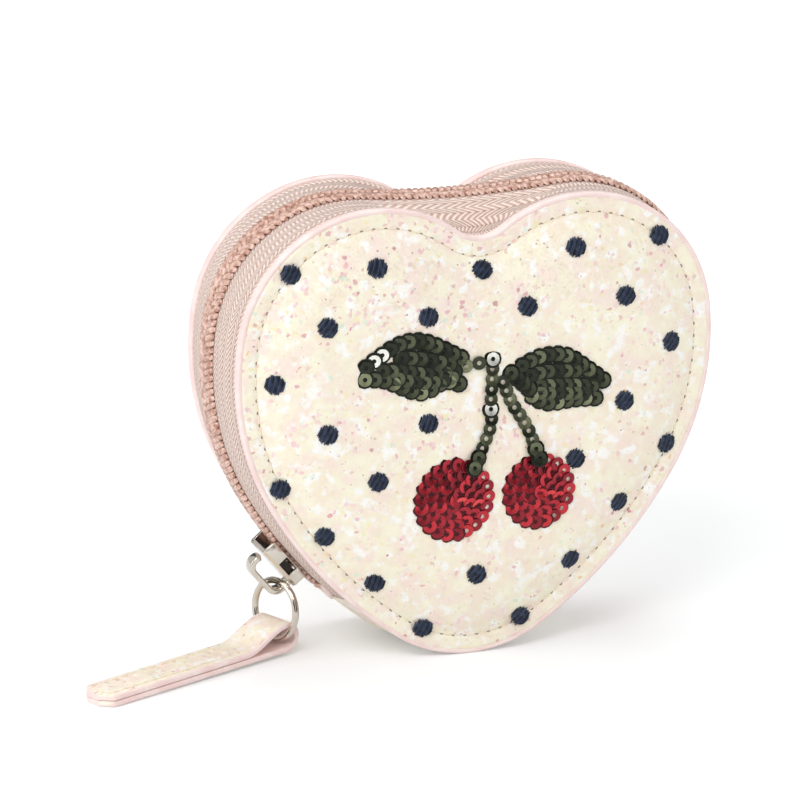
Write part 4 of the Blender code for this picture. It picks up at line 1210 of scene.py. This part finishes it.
# The wedge is a dark block that paints the shade inside the channel, seen through the window in the flange.
wedge = slab("wedge", (-3.4 * MM, -3.3 * MM, 1.5 * MM), (1.9 * MM, 3.3 * MM, ROOF - 0.02 * MM), 0.5 * MM, PAINTED_SHADE_METAL)
slider = join("slider_casting", shell, lower_plate, post, hook, wedge)
settle(slider, "slider", "polished_nickel", "slider_body")

# %% [markdown]
# ## Ring
# The ring is bent round wire. A torus from the Add menu would do, but it is made here by the same loft, in
# the ring's own frame, so that it hangs exactly where the CAD ring hangs.

# %% Ring
RING_STEPS, WIRE_SIDES = 96, 16
wire_section = [toward(math.tau * side / WIRE_SIDES) * RING_WIRE for side in range(WIRE_SIDES)]
loops = []
for step in range(RING_STEPS):
    way = toward(math.tau * step / RING_STEPS)
    spoke = Vector((0, way.y, way.x))
    middle = (spoke - Vector((0, 0, 1))) * RING_RADIUS
    loops.append([middle + spoke * spot.x + Vector((spot.y, 0, 0)) for spot in wire_section])
ring = loft("ring_wire", loops, [NICKEL], ring=True, hoop=True, matrix=ring_frame)
settle(ring, "ring", "polished_nickel", "pull_ring")

# %% [markdown]
# ## Strap
# The strap is one strip of glitter fabric, folded through the ring and sewn to itself, with the same paint on
# its edges as the panels. It is swept along its fold. Faces near its side edges and its ends take the paint,
# and so does the inner side of the fold.

# %% The strap's fold
LOOP_TAPER, ROUND_END, STRAP_EDGE, STRAP_STEPS = 11.0 * MM, 2.6 * MM, 0.42 * MM, 4
middle = LOOP_RADIUS + STRAP / 2
fall = middle * 2 - STRAP - GAP / 3
run = STRAP_LENGTH - LOOP_RADIUS - STRAP


def upper_height(x):
    """The height of the upper layer's middle line at X."""
    share = min(x / LOOP_TAPER, 1)
    return middle - fall * share * share * (3 - 2 * share)


line = [Vector((x, -middle)) for x in between(run, LOOP_TAPER, 20) + between(LOOP_TAPER, 0, 8)[1:-1]]
line += arc(Vector((0, 0)), middle, DOWN, DOWN - math.pi, 22)
line += [Vector((x, upper_height(x))) for x in between(0, LOOP_TAPER, 14)[1:-1] + between(LOOP_TAPER, run, 20)]
halves = []
for point in line:
    over = max(ROUND_END - (run - point.x), 0)
    halves.append(STRAP_WIDTH / 2 - ROUND_END + math.sqrt(max(ROUND_END**2 - over**2, 0)))
print("strap, laid flat: %.0f mm" % (running(line, False)[-1] / MM))

# %% Folded strap
strap = strip("strap_cloth", line, halves, STRAP, STRAP_EDGE, [IVORY, BLUSH], strap_frame, STRAP_STEPS)
inverse = strap_frame.inverted()
around = 4 * (STRAP_STEPS + 1)
for polygon in strap.data.polygons:
    centre = inverse @ polygon.center
    limit = halves[min(range(len(line)), key=lambda i: abs(line[i].x - centre.x) + abs(line[i].y - centre.z))]
    inside = polygon.index % around == around - 1
    if inside or abs(centre.y) > limit - 0.45 * MM or centre.x > run - 0.2 * MM:
        polygon.material_index = 1
settle(strap, "tab", "ivory_glitter", "pull_tab")

# %% [markdown]
# ## Stitches
# A machine stitch shows as a short thread that dives into a hole at each end. The path tree repeats both: a
# bowed bar for the thread and a shallow dimple for the hole, painted dark as the shade inside it, at the same
# pitch along the seam. The strap's needle holes are small, so their dimples are as pale as the thread.

# %% Stitch elements
STITCH, THREAD_RADIUS, THREAD_BOW, HOLE_RADIUS = 2.6 * MM, 0.13 * MM, 0.10 * MM, 0.38 * MM
HOLE_PROFILE = ((0.55, -0.06 * MM), (1.0, -0.02 * MM), (0.9, 0.05 * MM), (0.5, 0.02 * MM))


def bowed_thread(name, length, radius, lift, look):
    """A short thread that bows up between its two ends."""
    line = [Vector((length * (share - 0.5), 0, lift * math.sin(math.pi * share))) for share in between(0, 1, 6)]
    sizes = [(radius * share, radius * share) for share in (0.75, 1, 1, 1, 1, 1, 0.75)]
    return bar(name, line, sizes, 6, look)


thread = bowed_thread("thread", STITCH * 0.70, THREAD_RADIUS, THREAD_BOW, CREAM_THREAD)
hole_profile = [(HOLE_RADIUS * share, height) for share, height in HOLE_PROFILE]
hole = turned("hole", hole_profile, 10, HOLE_SHADE, shift=STITCH / 2, squash=0.8)
print("a stitch has", len(thread.data.polygons) + len(hole.data.polygons), "faces")

# %% Seams
def seam(name, points, out, body, hole_look=HOLE_SHADE):
    """A row of stitches and their holes along a closed path, with OUT as its way out of the cloth."""
    path = path_mesh(name + "_path", points, [out] * len(points), True)
    stitches = grow(name + "_stitches", path, path_tree, thread, CREAM_THREAD, Pitch=STITCH)
    holes = grow(name + "_holes", path, path_tree, hole, hole_look, Pitch=STITCH)
    drop(path)
    settle(stitches, body, "ivory_glitter")
    settle(holes, body, "ivory_glitter")


seam_line = whole_line(SEAM)
seam_height = HEART_DEPTH + rise_at(SEAM)
seam("front_seam", [world(point, seam_height) for point in seam_line], Vector((0, -1, 0)), "front_half")
seam("back_seam", [world(point, 0.32 * MM) for point in seam_line], Vector((0, 1, 0)), "back_half")

SEAM_GAP, SEAM_START, SEAM_END = 1.6 * MM, 14.0 * MM, 1.5 * MM
corners = rounded_box((run - SEAM_START - SEAM_END) / 2, STRAP_WIDTH / 2 - SEAM_GAP, 1.4 * MM, 4)
shift = (run + SEAM_START - SEAM_END) / 2
for word, side in (("upper", 1), ("lower", -1)):
    points = []
    for spot in corners:
        x = shift + spot.x
        z = upper_height(x) + STRAP / 2 if side > 0 else 0.3 * MM - middle - STRAP / 2
        points.append(strap_frame @ Vector((x, spot.y, z)))
    seam("strap_%s_seam" % word, points, strap_frame.to_3x3() @ Vector((0, 0, side)), "tab", CREAM_THREAD)
drop(thread, hole)

# %% [markdown]
# ## Loose flakes
# Some flakes in the film are big enough to see one by one, in white, yellow, mint and pink. The surface tree
# scatters small hexagons over the front skin, each leaning a little, with a random tone that picks its colour.

# %% Flakes on the skin
FLAKE_RADIUS, FLAKE_HALF = 0.30 * MM, 0.02 * MM
FLAKE_TONES = ((0.0, "ffffff"), (0.50, "fbf3cf"), (0.66, "dcecd8"), (0.74, "f8d4da"), (0.88, "efbfc6"),
               (0.965, "dc93a4"), (0.985, "f3c58d"))
tree, shader, FLAKES = finish("loose_flakes", {"Roughness": 0.22})
tone = tree.tone()
shade = tree.ramp(FLAKE_TONES, tone, interpolation="CONSTANT")
tree.feed(shader, {"Base Color": shade, "Metallic": (tone > 0.4) * 0.35 + 0.15})

grain = turned("flake", ((FLAKE_RADIUS, -FLAKE_HALF), (FLAKE_RADIUS, FLAKE_HALF)), 6, FLAKES)
field = loft("field", outer[2:] + [[outer[-1][0].lerp(p, 0.02) for p in outer[-1]]], [IVORY], ring=True)
scattered = grow("front_flakes", field, surface_tree, grain, FLAKES, Density=75000.0, Seed=4, Tilt=0.22,
                 Smallest=0.35)
settle(scattered, "front_half", "ivory_glitter")
drop(field, grain)

# %% [markdown]
# ## Embroidered dots
# The dots are satin stitch: parallel threads, side by side, that fill a disc and are a little uneven at their
# ends. Each thread is one bowed bar from the places tree, as long as the disc is wide there. Rays find the
# crowned skin under each dot, and one plane through what they hit carries all its threads.

# %% Navy silk and the skin to sew on
DOT_RADIUS, THREADS = 2.1 * MM, 12
tree, shader, NAVY = finish("navy_silk", {"Specular IOR Level": 0.3})
strand = tree.noise(tree.place(), 1100.0, 3.0)
fibre = ((strand - 0.42) * 3.6).bounded()
# Partly painted highlight: the lighter threads, by each thread's tone, stand for glints on the silk as well as
# uneven thread.
shade = (fibre * 0.45 + tree.tone() * 0.55).mix("010204", "46536f")
bump = tree.bump(0.7, 0.2 * MM, strand)
tree.feed(shader, {"Base Color": shade, "Normal": bump, "Roughness": 0.35 + strand * 0.3})
skin_corners = [vertex.co for vertex in front_skin.data.vertices]
skin_tree = BVHTree.FromPolygons(skin_corners, [polygon.vertices for polygon in front_skin.data.polygons])
dot_names = sorted(name for name in nodes if name.startswith("dot_"))
print("dots:", len(dot_names))

# %% Satin dots
def dot_plane(centre):
    """The way out of the skin under a dot, and how far out along it the highest place lies."""
    around = [centre] + [centre + Vector((math.cos(k), 0, math.sin(k))) * 1.9 * MM for k in range(7)]
    landings = [skin_tree.ray_cast(Vector((spot.x, -0.1, spot.z)), Vector((0, 1, 0))) for spot in around]
    out = sum((landing[1] for landing in landings), Vector()).normalized()
    return out, max(landing[0].dot(out) for landing in landings) - 0.06 * MM


points, outs, alongs, sizes, tones_and_glints = [], [], [], [], []
for number, name in enumerate(dot_names):
    low, high = (Vector(corner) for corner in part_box(name))
    centre = (low + high) / 2
    out, level = dot_plane(centre)
    slant = math.radians(62 + 14 * math.sin(number * 2.3))
    direction = Vector((math.cos(slant), 0, math.sin(slant)))
    step_way = Vector((-direction.z, 0, direction.x))
    for step in range(THREADS):
        offset = DOT_RADIUS * (2 * (step + 0.5) / THREADS - 1)
        uneven = 0.95 + 0.07 * math.sin(number * 5.1 + step * 2.9)
        share = math.sqrt(DOT_RADIUS**2 - (offset * 0.94) ** 2) * uneven / DOT_RADIUS
        dome = 0.182 * MM * (1 - (offset / DOT_RADIUS) ** 2)
        spot = centre + step_way * offset + direction * 0.13 * MM * math.sin(step * 4.7 + number)
        points.append(spot + out * (level + dome - spot.dot(out)))
        outs.append(out)
        alongs.append(direction - out * direction.dot(out))
        sizes.append(Vector((share, 1, 0.55 + 0.45 * share)))
        # Each thread's tone varies at random, and its lighter values act as painted glints.
        tones_and_glints.append(0.5 + 0.5 * math.sin(number * 3.7 + step * 2.1))
navy_thread = bowed_thread("navy_bar", DOT_RADIUS * 2, 0.185 * MM, 0.24 * MM, NAVY)
places = place_mesh("dot_places", points, [], out=outs, along=alongs, tone=tones_and_glints, size=sizes)
dots = grow("satin_dots", places, place_tree, navy_thread, NAVY)
settle(dots, "front_half", "navy_thread", *dot_names)
drop(places, navy_thread)

# %% [markdown]
# ## Sequins
# The cherries and leaves are sewn from flat sequins that overlap like scales. Their places follow a rule:
# rings inside each other on a cherry, and rows along smooth lines on leaves and stems. Each sequin leans on
# its neighbour and has its own tone. It is painted darker at its rim as shade, and on a cherry it is painted
# lighter toward the lower right as a highlight. Under the inner ones lies a dark knot, partly the thread's knot
# and partly painted shade, which shows through the hole.

# %% Sequin finish and element
SEQUIN_RADIUS, SEQUIN_HOLE, RIM_SHADE_WIDTH = 1.46 * MM, 0.48 * MM, 0.11 * MM
SEQUIN_PROFILE = ((SEQUIN_RADIUS, 0.06 * MM), (SEQUIN_RADIUS * 0.93, 0.13 * MM), (SEQUIN_HOLE, 0.0),
                  (SEQUIN_HOLE, -0.07 * MM), (SEQUIN_RADIUS * 0.97, 0.0))
# The knot is a dark disc under each inner sequin: the thread's knot, and painted shade that shows through the
# hole.
KNOT_SHADE_PROFILE = [(radius * MM, height * MM) for radius, height in
                ((1.5, -0.24), (1.92, -0.19), (1.5, -0.14), (0.5, -0.10), (0.22, 0.0))]


def sequin_finish(name, stops):
    """A metallic film whose colour runs with each sequin's tone, with painted shade at its rim."""
    tree, shader, made = finish(name, {"Metallic": 0.7, "Coat Weight": 0.12, "Coat Roughness": 0.06})
    haze = tree.noise(tree.place(), 900.0, 3.0)
    # Painted shade: a thin band at each sequin's rim is darkened, for the shade where the sequins overlap.
    rim_shade = tree.split(tree.place("UV"))[1] < RIM_SHADE_WIDTH
    shade = tree.ramp(stops, (tree.tone() + haze * 0.2 - 0.1) * (1 - rim_shade * 0.75))
    tree.feed(shader, {"Base Color": shade, "Roughness": 0.18 + haze * 0.22})
    return made


RED = sequin_finish("red_film", ((0.0, "4c0f17"), (0.12, "8a1f2b"), (0.45, "b22a37"), (0.8, "d5363f"),
                                 (1.0, "f8686a")))
OLIVE = sequin_finish("olive_film", ((0.0, "15180f"), (0.15, "2b3022"), (0.4, "555a43"), (0.7, "868a6a"),
                                     (0.86, "a5a988"), (1.0, "f4f4ec")))
element, shade_knot = turned("sequin", SEQUIN_PROFILE, 18, RED, hoop=True), turned("knot", KNOT_SHADE_PROFILE, 12, RED)
print("a sequin has", len(element.data.polygons), "faces, a knot", len(shade_knot.data.polygons))

# %% Places of the sequins
MOTIF_WIDTH, MOTIF_FOOT = 55 * MM, 25.5 * MM
SEQUIN_DEPTH = HEART_DEPTH + CROWN + 0.30 * MM
TILT = math.radians(10)


def motif(share):
    """The place on the panel of a pair of shares of the motif's width."""
    return Vector((share[0] * MOTIF_WIDTH, MOTIF_FOOT + share[1] * MOTIF_WIDTH))


def tone_of(number, base, spread):
    """A steady, uneven tone for sequin NUMBER."""
    return min(max(base + spread * math.sin(number * 12.9898 + 4.1), 0.08), 1)


def sequins(name, spots, look, slot, replaced):
    """Grow one patch's sequins, and the dark knots of painted shade under them, at SPOTS: place, way up the
    overlap, lift, tone and if it is inner.
    """
    points = [world(spot[0], SEQUIN_DEPTH + spot[2]) for spot in spots]
    slope = math.tan(TILT)
    outs = [Vector((way.x * slope, -1, way.y * slope)).normalized() for _, way, _, _, _ in spots]
    alongs = [Vector((math.cos(k * 2.4), 0, math.sin(k * 2.4))) for k in range(len(spots))]
    inner = [number for number, spot in enumerate(spots) if spot[4]]
    # Knots take tone 0, the darkest colour, as painted shade.
    for suffix, small, chosen, painted_light, stands_for in (("", element, range(len(spots)), 1, [replaced]),
                                                     ("_knots", shade_knot, inner, 0, [])):
        places = place_mesh(name + suffix + "_places", [points[k] for k in chosen], [],
                            out=[outs[k] for k in chosen], along=[alongs[k] for k in chosen],
                            tone=[float(spots[k][3] * painted_light) for k in chosen],
                            size=[Vector((1, 1, 1))] * len(chosen))
        settle(grow(name + suffix, places, place_tree, small, look), "front_half", slot, *stands_for)
        drop(places)

# %% Cherries
# Place and radius of each cherry, as shares of the motif's width.
CHERRIES = {"left": (-0.104, 0.164, 0.160), "right": (0.232, 0.166, 0.146)}
RING_PITCH, RING_STEP, LEVEL_LIFT = 2.15 * MM, 1.95 * MM, 0.10 * MM
for word, (across, rise, size) in CHERRIES.items():
    centre = motif((across, rise))
    ring_radius = MOTIF_WIDTH * size - SEQUIN_RADIUS
    spots = []
    level = 0
    while ring_radius > 0.4 * MM:
        count = max(round(math.tau * ring_radius / RING_PITCH), 1)
        for step in range(count):
            angle = math.tau * (step + 0.5 * (level % 2)) / count + 0.3
            direction = toward(angle)
            # Painted highlight: inner sequins toward the lower right of each cherry get a lighter tone.
            painted_light = 0.25 * max(direction.dot(toward(math.radians(-20))), 0) ** 2 * (level > 0)
            tone = tone_of(step * 7 + level * 31, 0.40 + painted_light, 0.27)
            inner = level > 0 or direction.x < 0.25
            spot = centre + direction * ring_radius
            spots.append((spot, toward(angle - 0.9), level * LEVEL_LIFT, tone, inner))
        ring_radius -= RING_STEP
        level += 1
    spots.append((centre, toward(0.5), level * LEVEL_LIFT, 0.6, True))
    sequins("cherry_%s_sequins" % word, spots, RED, "red_sequin", "sequin_cherry_" + word)

# %% [markdown]
# Leaves and stems are rows. Each row is a smooth line through a few places, with its own tone, the numbers of
# its white sequins, and whether all of it lies on dark knots of painted shade. The upper rows are nearly black
# and the lowest is light olive. The stems end on the cherries, so their last sequins are lifted.

# %% Rows of the leaves and stems
SEQUIN_STEP = 2.05 * MM
ROWS = {
    "leaf_left": (
        (0.26, (1, 2), True, ((-0.466, 0.703), (-0.428, 0.729), (-0.340, 0.778), (-0.242, 0.781),
                              (-0.095, 0.707))),
        (0.20, (), True, ((-0.330, 0.728), (-0.240, 0.716), (-0.141, 0.688))),
        (0.24, (), True, ((-0.400, 0.684), (-0.310, 0.674), (-0.220, 0.656), (-0.120, 0.657))),
        (0.30, (), True, ((-0.340, 0.650), (-0.270, 0.630), (-0.190, 0.625), (-0.130, 0.636))),
        (0.44, (), True, ((-0.469, 0.657), (-0.387, 0.646), (-0.250, 0.588), (-0.155, 0.621),
                          (-0.100, 0.609))),
        (0.45, (), False, ((-0.075, 0.676), (-0.023, 0.682))),
    ),
    "leaf_right": (
        (0.32, (), True, ((0.148, 0.655), (0.223, 0.684), (0.320, 0.680), (0.412, 0.619), (0.474, 0.571))),
        (0.24, (), True, ((0.181, 0.617), (0.256, 0.626), (0.360, 0.618))),
        (0.30, (), True, ((0.222, 0.572), (0.326, 0.567), (0.430, 0.553))),
        (0.32, (), True, ((0.225, 0.545), (0.310, 0.535), (0.400, 0.530))),
        (0.44, (), True, ((0.191, 0.536), (0.256, 0.503), (0.364, 0.508), (0.444, 0.505))),
        (0.16, (), True, ((0.105, 0.632), (0.141, 0.602), (0.178, 0.566))),
    ),
    "stem_left": (
        (0.30, (0, 5), False, ((0.032, 0.692), (0.030, 0.608), (0.028, 0.520), (0.031, 0.443), (0.001, 0.358),
                               (-0.036, 0.285))),
    ),
    "stem_right": (
        (0.34, (), False, ((0.074, 0.600), (0.112, 0.516), (0.158, 0.447), (0.192, 0.382), (0.222, 0.298))),
    ),
}
print("rows:", {name: len(rows) for name, rows in ROWS.items()})

# %% Leaves and stems
def evenly(points, step):
    """Places at about equal steps along a smooth line through POINTS, and the way back along it."""
    line = smooth_line(points, 12)
    covered = running(line, False)
    count = max(round(covered[-1] / step), 1)
    places = []
    for number in range(count + 1):
        target = covered[-1] * number / count
        index = next(k for k in range(1, len(line)) if covered[k] >= target - 1e-9)
        share = (target - covered[index - 1]) / (covered[index] - covered[index - 1])
        places.append((line[index - 1].lerp(line[index], share), (line[index - 1] - line[index]).normalized()))
    return places


for name, rows in ROWS.items():
    spots = []
    on_cherry = 1.0 * MM if name.startswith("stem") else 0
    for level, (base, white, on_shade_knots, shares) in enumerate(rows):
        places = evenly([motif(share) for share in shares], SEQUIN_STEP)
        for number, (spot, back) in enumerate(places):
            tone = 1.0 if number in white else tone_of(number * 5 + level * 17, base, 0.35 * base + 0.08)
            lift = (0.05 + 0.12 * (level % 2)) * MM + on_cherry * max(number - len(places) + 3, 0) / 2
            inner = on_shade_knots or tone == 1 or number > len(places) - 3 and on_cherry > 0
            spots.append((spot, back, lift, tone, inner))
    sequins(name + "_sequins", spots, OLIVE, "olive_sequin", "sequin_" + name)
drop(element, shade_knot)

# %% [markdown]
